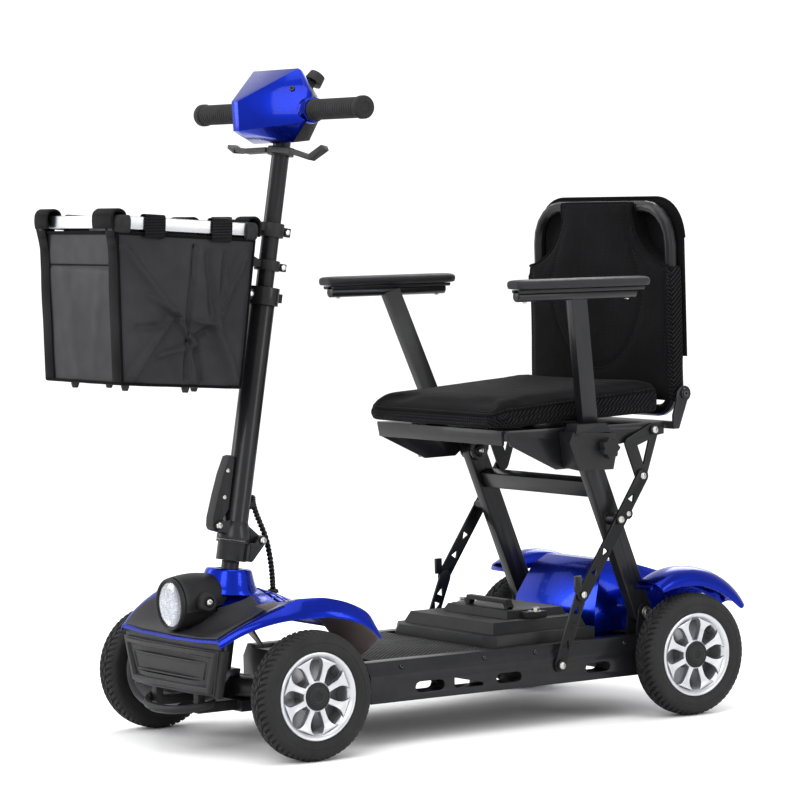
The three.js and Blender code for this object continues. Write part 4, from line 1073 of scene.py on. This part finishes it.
puff(cushion, 0.0055, 0.006, 4.0, 20, cushion_pin)
path = [P(x, y, zb(y) + (zt(y) - zb(y)) * 0.80) for x, y in plan_ring(2.5)]
path.append(path[0])
low = [P(x, y, zb(y) + (zt(y) - zb(y)) * 0.10) for x, y in plan_ring(3)]
low.append(low[0])
seam(cushion, [path, low], 0.0045, 0.0022)
cushion.data.materials.clear()
cushion.data.materials.append(M["mesh_top"])
cushion.data.materials.append(M["mesh_side"])
for p in cushion.data.polygons:
    y, z = p.center.y * 1000 + YC, p.center.z * 1000
    fr = (z - zb(y)) / max(1, zt(y) - zb(y))
    p.material_index = 1 if (0.10 < fr < 0.81 and abs(p.normal.z) < 0.85) else 0
s = cushion.modifiers.new("sub", "SUBSURF")
s.levels = s.render_levels = 1
cushion.data.shade_smooth()
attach(cushion, "seat")
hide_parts("seat_cushion")


def hug(o, points, off=0.0008):
    """points moved on to o's surface, then off it by off"""
    out = []
    for p in points:
        ok, q, nn, _ = o.closest_point_on_mesh(Vector(p))
        out.append(q + nn * off if ok else Vector(p))
    return out


def dense(points, step=0.004):
    out = []
    for a, b in zip(points[:-1], points[1:]):
        k = max(1, int((Vector(b) - Vector(a)).length / step))
        out += [Vector(a).lerp(Vector(b), i / k) for i in range(k)]
    out.append(Vector(points[-1]))
    return out


def relax(points, k=3, closed=False):
    for _ in range(k):
        q = [p.copy() for p in points]
        for i in range(len(points)):
            if not closed and i in (0, len(points) - 1):
                continue
            q[i] = (points[i - 1] + points[i] * 2 + points[(i + 1) % len(points)]) / 4
        points = q
    return points


def piping(name, host, points, r, body, closed=True, mat="piping"):
    p = dense(points)
    if closed:
        p = p[:-1]
    p = relax(hug(host, p, r / 1000 * 0.35), 3, closed)
    return obj(name, *tube(p, r, 8, closed), mat, body, slot="fabric_black")


def stitches(name, host, points, body, pitch=0.0042, length=0.0026, r=0.45, off=0.0):
    p = dense(points, pitch)
    p = hug(host, p, off + 0.0002)
    parts = []
    for a, b in zip(p[:-1], p[1:]):
        d = (b - a)
        if d.length < 1e-5:
            continue
        d.normalize()
        m = (a + b) / 2
        parts.append(tube([m - d * length / 2, m - d * length / 4, m + d * length / 4, m + d * length / 2], [r * 0.5, r, r, r * 0.5], 5))
    return obj(name, *join(parts), "thread", body, slot="fabric_black")


piping("seat_pad_piping", cushion, path, 1.6, "seat")
stitches("seat_pad_stitches", cushion, [p + Vector((0, 0, 0.0045)) for p in path], "seat")

# backrest cover
half = [(200.5, -16), (200.5, 207), (188, 210), (166, 217), (132, 237), (112.5, 260), (102.5, 284), (98.5, 304), (98, 319.5)]
outl = half + [(-x, z) for x, z in reversed(half)]
v, f = [], []
rings = [(-14, 7), (-16.5, 2.5), (-13, 0), (9, 0), (12.5, 2.5), (11, 7)]


def inset_poly(pts, d):
    out = []
    n = len(pts)
    for i in range(n):
        a, b, c2 = Vector(pts[i - 1]), Vector(pts[i]), Vector(pts[(i + 1) % n])
        e1, e2 = (b - a).normalized(), (c2 - b).normalized()
        n1, n2 = Vector((-e1.y, e1.x)), Vector((-e2.y, e2.x))
        m = (n1 + n2)
        m = m / max(0.3, m.dot(n1)) if m.length > 0 else n1
        out.append((b.x + m.x * d, b.y + m.y * d))
    return out


for y, d in rings:
    for x, z in inset_poly(outl, d):
        v.append(BK(x, y, z))
n = len(outl)
for i in range(len(rings) - 1):
    for k in range(n):
        l = (k + 1) % n
        f.append((i * n + k, i * n + l, (i + 1) * n + l, (i + 1) * n + k))
f.append(tuple(reversed(range(n))))
f.append(tuple((len(rings) - 1) * n + k for k in range(n)))
cover = raw("back_pad", v, f)
puff(cover, 0.0045, 0.006, 3.0, 20)
oval = [(-100, 236), (-116, 205), (-122, 160), (-108, 112), (-72, 66), (-36, 44), (0, 37), (36, 44), (72, 66), (108, 112), (122, 160), (116, 205), (100, 236)]
oval_path = [BK(x, -16, z) for x, z in [(q.x, q.y) for q in spline([Vector((a, b, 0)) for a, b in oval], 6)]]
vert = [[BK(sx * 186, -16, z) for z in range(-8, 208, 12)] for sx in (1, -1)]
seam(cover, [oval_path] + vert, 0.005, 0.0024, lambda p, nn: nn.y < -0.2)
# slack folds that hang from the wings
for vtx in cover.data.vertices:
    p = vtx.co
    k = noise.noise(Vector((p.x * 9, p.y * 5, p.z * 14))) * 0.0011
    vtx.co.y += k
cover.data.update()
cover.data.materials.clear()
cover.data.materials.append(M["mesh_top"])
cover.data.materials.append(M["mesh_side"])
for p in cover.data.polygons:
    p.material_index = 1 if (abs(p.center.x) > 0.186 and (abs(p.normal.x) > 0.25 or p.normal.y < 0)) else 0
s = cover.modifiers.new("sub", "SUBSURF")
s.levels = s.render_levels = 1
cover.data.shade_smooth()
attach(cover, "backrest")
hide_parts("back_cover")
stitches("back_oval_stitches", cover, [p + Vector((0, -0.004, 0)) for p in oval_path], "backrest", off=0.0001)
for tag, sx in (("left", 1), ("right", -1)):
    notch = [(sx * x, z) for x, z in [(201, 209), (188, 212), (167, 219), (134, 238), (114, 261), (104, 284), (100, 304), (99, 320)]]
    piping(f"back_binding_{tag}", cover, [BK(x, -15, z) for x, z in notch], 2.2, "backrest", False)
    piping(f"back_binding_rear_{tag}", cover, [BK(x, 12, z) for x, z in notch], 2.2, "backrest", False)
piping("back_top_binding", cover, [BK(x, -16, 320) for x in range(-112, 113, 16)], 1.5, "backrest", False)

# rear panel, sewn behind the tube up to its rounded corners
def rounded_top(hw, top, low, r):
    out = [(hw, low)]
    for i in range(11):
        a = i / 10 * math.pi / 2
        out.append((hw - r + r * math.cos(a), top - r + r * math.sin(a)))
    for i in range(11):
        a = math.pi / 2 + i / 10 * math.pi / 2
        out.append((-hw + r + r * math.cos(a), top - r + r * math.sin(a)))
    out.append((-hw, low))
    return out


rim_pts = rounded_top(198.5, 320.5, 60, 66)
v, f = [], []
for y_, d_ in ((12.6, 1.5), (13.2, 0.2), (14.6, 0.0), (15.6, 1.0)):
    for x_, z_ in inset_poly(rim_pts, d_):
        v.append(BK(x_, y_ + 0.5 * math.sin(z_ * 0.05) * (1 if y_ > 14 else 0), z_))
n_ = len(rim_pts)
for i in range(3):
    for k_ in range(n_):
        l_ = (k_ + 1) % n_
        f.append((i * n_ + k_, i * n_ + l_, (i + 1) * n_ + l_, (i + 1) * n_ + k_))
f.append(tuple(reversed(range(n_))))
f.append(tuple(3 * n_ + k_ for k_ in range(n_)))
obj("back_rear_panel", v, f, "mesh_top", "backrest", bevel=0.0005, slot="fabric_black")
edge_ = [BK(x_, 14.2, z_) for x_, z_ in rim_pts[1:-1]]
obj("back_rear_binding", *tube(relax(dense(edge_, 0.006), 2), 2.4, 8), "piping", "backrest", slot="fabric_black")

# armrest pads
for tag, s_ in (("left", 1), ("right", -1)):
    base_ = [(254, 703.6), (256, 700.4), (284, 700.4), (286, 703.6), (286, 705.9), (254, 705.9)]
    obj(f"arm_pad_base_{tag}", *prism([(s_ * x_, z_) for x_, z_ in base_], lambda a, b, h: P(a, h, b), 372, 612), "plastic", f"arm_{tag}", bevel=0.0008, slot="plastic_black")
for tag, s in (("left", 1), ("right", -1)):
    sec = [(-19, 0.4), (-22, 1.6), (-24.6, 5.5), (-25.2, 9.5), (-24, 13), (-19, 15.6), (-10, 16.3), (0, 16.4), (10, 16.3), (19, 15.6), (24, 13), (25.2, 9.5), (24.6, 5.5), (22, 1.6), (19, 0.4)]
    v, f = [], []
    stations = [(362.5, 0.50), (364, 0.70), (367, 0.84), (373, 0.94), (382, 0.99), (400, 1.0), (440, 0.985), (500, 0.97), (560, 0.985), (600, 1.0), (610, 0.97), (616, 0.9), (620, 0.78), (622.5, 0.55)]
    n = len(sec)
    for y, k in stations:
        for x, z in sec:
            kz = 0.35 + 0.65 * k if k < 0.97 else 1
            v.append(P(s * (270 + x * k), y, 705.8 + 8 + (z - 8) * kz))
    for i in range(len(stations) - 1):
        for k in range(n):
            l = (k + 1) % n
            f.append((i * n + k, i * n + l, (i + 1) * n + l, (i + 1) * n + k))
    f.append(tuple(reversed(range(n))))
    f.append(tuple((len(stations) - 1) * n + k for k in range(n)))
    o = obj(f"arm_pad_skin_{tag}", v, f, "leather", f"arm_{tag}", f"arm_pad_{tag}", sub=2)

# ------------------------------------------------------------------ basket
LR, HB = 246.0, 255.0


def seg_d(px, py, a, b):
    ax_, ay, bx, by = *a, *b
    t = max(0, min(1, ((px - ax_) * (bx - ax_) + (py - ay) * (by - ay)) / ((bx - ax_) ** 2 + (by - ay) ** 2)))
    return math.hypot(px - ax_ - t * (bx - ax_), py - ay - t * (by - ay))


def wall_offset(face, u, w):
    """how far the cloth stands out; u runs 0..1 along the face, w 0..1 from the hem down"""
    sag = 2.0 * math.sin(u * math.pi) * math.sin(w * math.pi)
    big = face in (1, 3)
    k = noise.noise(Vector((u * 4.2 + face * 7, w * 3.3, face * 3.1))) * (4.2 if big else 1.2) + noise.noise(Vector((u * 9 + face * 2, w * 8, 5 + face))) * (2.0 if big else 0.4)
    fold = 0
    if face in (1, 3):  # the two side walls carry the fold-flat creases
        for a, b, hgt, wd in (((0.04, 0.10), (0.42, 0.52), 5.5, 0.028), ((0.42, 0.52), (0.60, 0.72), 6.0, 0.022), ((0.60, 0.72), (0.66, 0.97), -4.5, 0.02), ((0.42, 0.52), (0.06, 0.97), 5.0, 0.03),
                              ((0.74, 0.58), (0.95, 0.97), 7.5, 0.04), ((0.74, 0.58), (0.93, 0.12), 4.5, 0.04), ((0.74, 0.58), (0.66, 0.10), -3.0, 0.02), ((0.56, 0.06), (0.53, 0.95), -4.0, 0.014), ((0.80, 0.08), (0.78, 0.50), -3.0, 0.012),
                              ((0.22, 0.40), (0.42, 0.52), 3.5, 0.02), ((0.30, 0.80), (0.60, 0.72), 3.5, 0.025), ((0.60, 0.56), (0.74, 0.58), 3.5, 0.018), ((0.62, 0.66), (0.74, 0.58), -3.5, 0.018), ((0.14, 0.62), (0.34, 0.60), -3.0, 0.025)):
            d = seg_d(u, w, a, b)
            fold += 1.7 * hgt * math.exp(-(d / wd) ** 2)
        fold -= 6.0 * math.exp(-((u - 0.60) ** 2 + (w - 0.60) ** 2) / 0.05)
    else:
        for a, b, hgt, wd in (((0.04, 0.22), (0.93, 0.25), -1.3, 0.012), ((0.3, 0.3), (0.42, 0.95), 1.0, 0.07), ((0.75, 0.28), (0.62, 0.9), 1.0, 0.06)):
            fold += hgt * math.exp(-(seg_d(u, w, a, b) / wd) ** 2)
    edge = min(1, min(u, 1 - u) / 0.08) * min(1, w / 0.05) * min(1, (1 - w) / 0.04)
    return (sag + k + fold) * edge - 2.2


def basket_point(face, u, w, off=0.0):
    """face 0 front, 1 rider's left, 2 rear, 3 rider's right; corners pull in a little"""
    z = -26 - w * (HB - 27.5)
    xh = 120.5 - 2.0 * w
    yf, yr = 1.5 - LR + w * 20, -1.5 - w * 13.5
    o = wall_offset(face, u, w) + off
    if face == 0:
        return (-xh + 2 * xh * u, yf - o, z)
    if face == 1:
        return (xh + o, yf + (yr - yf) * u, z)
    if face == 2:
        return (xh - 2 * xh * u, yr + o, z)
    return (-xh - o, yr + (yf - yr) * u, z)


NU, NW = 72, 72
v, f, idx = [], [], {}
for face in range(4):
    for i in range(NU + 1):
        for j in range(NW + 1):
            idx[face, i, j] = len(v)
            v.append(K(*basket_point(face, i / NU, j / NW)))
for face in range(4):
    for i in range(NU):
        for j in range(NW):
            f.append((idx[face, i, j], idx[face, i + 1, j], idx[face, i + 1, j + 1], idx[face, i, j + 1]))
bw = 20
bot = {}
for i in range(bw + 1):
    for j in range(bw + 1):
        x = -118.5 + 237 * i / bw
        y = (1.5 - LR + 20 + 2.2) + (-15 - 2.2 - (1.5 - LR + 20 + 2.2)) * j / bw
        e = min(i, bw - i, j, bw - j) / 4
        bot[i, j] = len(v)
        v.append(K(x * 0.985, y, -HB + 1.5 + min(1, e) * 0.0 + 0.8 * math.sin(i * 1.1) * math.sin(j * 0.9) * min(1, e)))
for i in range(bw):
    for j in range(bw):
        f.append((bot[i, j], bot[i + 1, j], bot[i + 1, j + 1], bot[i, j + 1]))
bag = obj("basket_cloth", v, f, "nylon", None)
bag.modifiers.clear()
w_ = bag.modifiers.new("weld", "WELD")
w_.merge_threshold = 0.0022
so = bag.modifiers.new("thick", "SOLIDIFY")
so.thickness = 0.0016
so.offset = -1
sb = bag.modifiers.new("sub", "SUBSURF")
sb.levels = sb.render_levels = 1
bag.data.shade_smooth()
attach(bag, "tiller_top")
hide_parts("basket_bag")


def ribbon(name, pts, width_dir, width, thick, mat="webbing", body="tiller_top"):
    """flat webbing along pts (row frame), its flat side across width_dir"""
    wd = Vector(width_dir).normalized()
    v, f = [], []
    n = len(pts)
    for i in range(n):
        a, b = pts[max(0, i - 1)], pts[min(n - 1, i + 1)]
        t = (Vector(b) - Vector(a)).normalized()
        nn = t.cross(wd).normalized()
        for sx, sn in ((-1, -0.6), (-0.93, -1), (0.93, -1), (1, -0.6), (1, 0.6), (0.93, 1), (-0.93, 1), (-1, 0.6)):
            v.append(Vector(pts[i]) + wd * (sx * width / 2000) + nn * (sn * thick / 2000))
    for i in range(n - 1):
        for k in range(8):
            l = (k + 1) % 8
            f.append((i * 8 + k, i * 8 + l, (i + 1) * 8 + l, (i + 1) * 8 + k))
    f.append(tuple(reversed(range(8))))
    f.append(tuple((n - 1) * 8 + k for k in range(8)))
    return obj(name, v, f, mat, body, slot="fabric_black")


def loop_profile(out, rim=(-25, 0), t=1.8, inner=-12):
    """(outward, z) path of a strap from under the rim outside, over it and down inside"""
    o = out
    return [(0.5, rim[0] - 6), (3.0, rim[0] - 1), (3.4, rim[0] + 8), (3.2, rim[1] - 3), (1.2, rim[1] + 2.6), (-5, rim[1] + 3.6), (inner + 1, rim[1] + 2.4), (inner - 1.6, rim[1] - 4), (inner - 1.6, rim[0] + 2), (inner + 3, rim[0] - 6)]


def face_pt(face, u, outw, z):
    """point at fraction u along a face, outw outside the rim plane"""
    if face == 0:
        return (-122 + 244 * u, -LR - outw, z)
    if face == 1:
        return (122 + outw, -LR + LR * u, z)
    if face == 2:
        return (122 - 244 * u, outw, z)
    return (-122 - outw, -LR * u, z)


DIRS = {0: (1, 0, 0), 2: (1, 0, 0), 1: K(0, 1, 0) - K(0, 0, 0), 3: K(0, 1, 0) - K(0, 0, 0)}
k = 0
for face, us in ((1, (0.26, 0.74)), (3, (0.26, 0.74)), (2, (0.30, 0.70))):
    for u in us:
        k += 1
        wide = 35
        pts = spline([K(*face_pt(face, u, a, z)) for a, z in loop_profile(0)], 4)
        ribbon(f"rim_loop_{k}", pts, DIRS[face], wide, 2.0)
        for q in (-0.36, 0.36):
            pass
# carrying handles: long bands stitched down the front and the back, looped over the rim
for face, us in ((0, (0.05, 0.93)), (2, (0.12, 0.88))):
    for i, u in enumerate(us):
        pts = []
        for j in range(24):
            w = 0.985 - j * (0.985 - 0.02) / 23
            uu = min(0.955, max(0.045, u))
            p = basket_point(face, uu, w, 1.8)
            pts.append(K(*p))
        top = [K(*face_pt(face, min(0.955, max(0.045, u)), a, z)) for a, z in ((3.2, -22), (5.0, -12), (5.6, -3), (3.4, 4.6), (-4, 6.4), (-11, 4.4), (-13.5, -4), (-14, -16), (-12.5, -30), (-9, -52))]
        ribbon(f"handle_band_{'front' if face == 0 else 'rear'}_{i + 1}", spline(pts[::3] + top, 4), DIRS[face], 27, 2.2)
        # padded sleeve where the band rolls over the rim
        sl = [K(*face_pt(face, (0.87 if i else 0.09), a, z)) for a, z in ((6.4, -20), (8.4, -10), (7.6, 2.0), (1.5, 8.2), (-7, 8.6), (-14, 4.0), (-16, -8), (-15.5, -20))]
        ribbon(f"handle_sleeve_{'front' if face == 0 else 'rear'}_{i + 1}", spline(sl, 5), DIRS[face], 40 if i == 0 else 60, 3.4, "webbing")
# bound seams: hem, bottom edge, corners
hem = []
for face in range(4):
    for i in range(NU):
        hem.append(K(*basket_point(face, i / NU, 0.0, 1.2)))
obj("basket_hem", *tube(relax(hem, 2, True), 2.1, 8, True, 3.4, None), "piping", "tiller_top", slot="fabric_black")
edge = []
for face in range(4):
    for i in range(NU):
        edge.append(K(*basket_point(face, i / NU, 0.995, 1.6)))
obj("basket_bottom_binding", *tube(relax(edge, 3, True), 2.2, 8, True), "piping", "tiller_top", slot="fabric_black")
for face in range(4):
    pts = [K(*basket_point(face, 0.0, j / 22, 1.4)) for j in range(23)]
    obj(f"basket_corner_binding_{face + 1}", *tube(relax(pts, 2), 1.7, 8), "piping", "tiller_top", slot="fabric_black")
pts = [K(*basket_point(0, 0.06 + 0.86 * i / 30, 0.215, 0.9)) for i in range(31)]
obj("basket_pocket_hem", *tube(pts, 1.1, 6), "piping", "tiller_top", slot="fabric_black")
pts = [K(*basket_point(1, 0.56 - 0.03 * i / 30, 0.05 + 0.90 * i / 30, 0.8)) for i in range(31)]
obj("basket_side_seam", *tube(pts, 1.0, 6), "piping", "tiller_top", slot="fabric_black")
# feet under the stiff base board
for i, (x, y) in enumerate(((-45, -214), (98, -208), (104, -106), (-104, -120), (0, -28))):
    obj(f"basket_foot_{i + 1}", *lathe([(0, 0.3), (0, 6.4), (3, 6.2), (8.2, 4.6), (9, 3.6), (9, 0.3)], K(x, y, -HB + 1), K(0, 0, -1) - K(0, 0, 0), 20, False), "plastic", "tiller_top", slot="plastic_black")
# corner caps on the rim
for i, (x, y) in enumerate(((-122, -LR), (122, -LR), (122, 0), (-122, 0))):
    sx, sy = (1 if x > 0 else -1), (1 if y == 0 else -1)
    path3 = [K(x - sx * 20, y, -12.5), K(x - sx * 9, y, -12.5), K(x - sx * 3, y - sy * 3, -12.5), K(x, y - sy * 9, -12.5), K(x, y - sy * 20, -12.5)]
    pv, pf = tube(spline(path3, 5), 14.2, 16, False, 6.2, up=tuple((K(0, 0, 1) - K(0, 0, 0)).normalized()))
    obj(f"rim_corner_{i + 1}", pv, pf, "plastic", "tiller_top", bevel=0.0008, slot="plastic_black")

# ------------------------------------------------------------------ handlebar
for tag, s in (("left", 1), ("right", -1)):
    prof = [(0, 12), (0, 17.6), (3, 18.2), (6, 17.4), (8, 15.6)]
    h = 10
    while h < 124:
        prof += [(h, 15.2), (h + 0.9, 16.3), (h + 3.9, 16.3), (h + 4.8, 15.2)]
        h += 6.4
    prof += [(126, 15.4), (127.5, 17.4), (130, 18.0), (138, 18.0), (140, 17.0), (141, 14), (141, 9), (139.8, 8), (139.8, 0.3), (138.9, 0.3), (138.9, 12)]
    obj(f"grip_sleeve_{tag}", *lathe(prof, T(s * 99, -9, 711), (s, 0, 0), 48), "grip", "tiller_top", f"grip_{tag}")
    obj(f"grip_collar_{tag}", *lathe([(0, 11.4), (0, 21), (3, 22.5), (13, 20.8), (16, 19), (16, 11.4)], T(s * 82, -9, 711), (s, 0, 0), 40), "blue", "tiller_top", bevel=0.0006, slot="shell_blue")
HD = [T(0, 0, 1) - T(0, 0, 0)]
obj("ignition_socket", *lathe([(0, 0.3), (0, 13), (6, 13), (7.5, 11.5), (7.5, 7), (4, 6.6), (4, 0.3)], T(-30, 8, 748), T(0, 0.5, 0.866) - T(0, 0, 0), 32, False), "plastic", "tiller_top", slot="plastic_black")
obj("key_slot", *lathe([(4, 0.3), (4, 6.2), (5.2, 6.0), (5.2, 0.3)], T(-30, 8, 748), T(0, 0.5, 0.866) - T(0, 0, 0), 24, False), "bolt", "tiller_top", slot="rim_silver")

# ------------------------------------------------------------------ coiled cable in two lengths that meet on the steering casting
route = [(0, y, z) for y, z in ((45.5, 388), (46.5, 376), (52, 359), (60, 341), (68.5, 320), (74, 298), (77.5, 276), (79.3, 256), (80, 238))]
line = spline([P(*p) for p in route], 14)


def coil(points, r, wire, turns, seg=8, phase=0.0):
    """a wound cord: the centre line of the wire about points"""
    n = len(points)
    out = []
    total = turns * 14
    for i in range(total + 1):
        t = i / total * (n - 1)
        a = int(min(n - 2, t))
        p = points[a].lerp(points[a + 1], t - a)
        d = (points[a + 1] - points[a]).normalized()
        s = Vector((1, 0, 0))
        w = d.cross(s).normalized()
        q = 2 * math.pi * turns * i / total + phase
        out.append(p + (s * math.cos(q) + w * math.sin(q)) * r / 1000)
    return tube(out, wire, seg)


cut_at = 70
obj_up = obj("coil_cable_upper", *join([coil(line[: cut_at + 1], 2.5, 2.4, 8, 8, q) for q in (0, math.pi)]), "cable", None)
obj_low = obj("coil_cable_lower", *join([coil(line[cut_at:], 2.5, 2.4, 5, 8, q) for q in (0, math.pi)]), "cable", None)
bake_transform(obj_low)
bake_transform(obj_up)
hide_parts("coil_cable")
obj("cable_grommet", *lathe([(-2, 5.4), (-2, 9), (2, 9), (4, 7.4), (4, 5.4)], P(0, 80, 234), (0, 0, 1), 28), "tyre", "chassis", slot="tyre_rubber")
obj("cable_entry", *tube([T(0, 18, 90), T(0, 24, 89), T(0, 27, 87)], [8, 7, 5.8], 20), "tyre", "tiller", slot="tyre_rubber")

# ------------------------------------------------------------------ screws and bolts, grouped by the body they ride on
bolts = {}


def bolt(body, c, axis, r=5, h=3, kind="button", washer=None, mat="bolt"):
    bolts.setdefault((body, mat), []).append(button(c, axis, r, h) if kind == "button" else hexbolt(c, axis, r, h, washer))


for s in (1, -1):
    bolt("lower_links", P(s * 193.5, 546, 209), (s, 0, 0), 5.6, 3)
    bolt("upper_links", P(s * 199.4, 546, 209), (s, 0, 0), 5.8, 3)
    bolt("seat_legs", P(s * 201.4, 622, 326), (s, 0, 0), 5.8, 3)
    bolt("upper_links", P(s * 198, 671, 394), (s, 0, 0), 5.8, 3.2)
    bolt("upper_links", P(s * 198, 640, 334), (s, 0, 0), 4.6, 2.6)
    bolt("seat", P(s * 198, 697, 468), (s, 0, 0), 5.8, 3)
    bolt("chassis", P(s * 197.5, 502, 98), (s, 0, 0), 6, 3)
    bolt("chassis", P(s * 178, 690, 168), (s, 0, 0), 7.6, 4, "hex", 10)
    bolt("chassis", P(s * 143, 690, 168), (-s, 0, 0), 8.6, 4, "hex", 11.5)
    bolt("seat", P(s * 177, 588, 424), (s, 0, 0), 11.5, 4, "button", mat="darkbolt")
    bolt("seat", P(s * 180.5, 588, 424), (s, 0, 0), 5, 3)
    bolt("seat", P(s * 142, 588, 424), (-s, 0, 0), 11.5, 4, "button", mat="darkbolt")
    bolt("seat", P(s * 138.6, 588, 424), (-s, 0, 0), 5, 3)
    bolt("backrest", P(s * 209.5, 752, 525), (s, 0, 0), 5.2, 2.4, mat="darkbolt")
    bolt("arm_left" if s > 0 else "arm_right", P(s * 266, 388, 686.9), (0, 0, -1), 3.6, 2)
    bolt("arm_left" if s > 0 else "arm_right", P(s * 266, 590, 686.9), (0, 0, -1), 3.6, 2)
    bolt("chassis", P(s * 103, 520, 176), (0, 0, 1), 6.2, 6, "hex", 8.6)
    bolt("chassis", P(s * 97, 512, 176), (0, 0, 1), 3.4, 2.4)
    for y in (200, 360, 460, 640):
        bolt("chassis", P(s * 181, y, 121.5), (s * 0.83, 0, 0.55), 3.6, 2.2, mat="darkbolt")
    bolt("chassis", P(s * 56.5, -71.5, 233), (s, -0.1, 0.06), 5.2, 3.2)
    bolt("tiller_top", T(s * 74, -40, 740), (s * 0.55, -0.75, 0.25), 4.4, 1.6, mat="darkbolt")
for x in (-15.6, 15.6):
    sx = 1 if x > 0 else -1
    bolt("tiller", T(x, -38, 51), (sx, 0, 0), 5.6, 3.2)
    bolt("steer", T(x * 1.16, 44, 36), (sx, 0, 0), 5.8, 3.4)
    bolt("tiller", T(x * 0.8, -31, 418), (sx, 0, 0), 4.6, 3, "hex")
    bolt("fold_lever", T(sx * 11, -32, 96), (sx, 0, 0), 3.8, 2)
    bolt("fold_lever", T(sx * 11, -32, 138), (sx, 0, 0), 3.8, 2)
for z in (467, 523):
    bolt("tiller_top", T(4, 27, z), (1, 0, 0), 5, 4, "hex")
    bolt("tiller_top", T(-4, 27, z), (-1, 0, 0), 5, 4, "hex")
for (body, mat), parts in bolts.items():
    obj(f"screws_{body}_{mat}", *join(parts), mat, body, bevel=0.0003, slot="rim_silver" if mat == "bolt" else "steel_black")

# ------------------------------------------------------------------ floor
me = bpy.data.meshes.new("floor")
me.from_pydata([(-40, -40, 0), (40, -40, 0), (40, 40, 0), (-40, 40, 0)], [], [(0, 1, 2, 3)])
floor = bpy.data.objects.new("floor", me)
SC.collection.objects.link(floor)
fm = Mat("floor_pale", Roughness=0.9)
fm.color(fm.ramp(fm.noise(1.2, 2), [(0.3, (0.955, 0.955, 0.955)), (0.7, (0.97, 0.97, 0.97))]))
me.materials.append(fm.m)
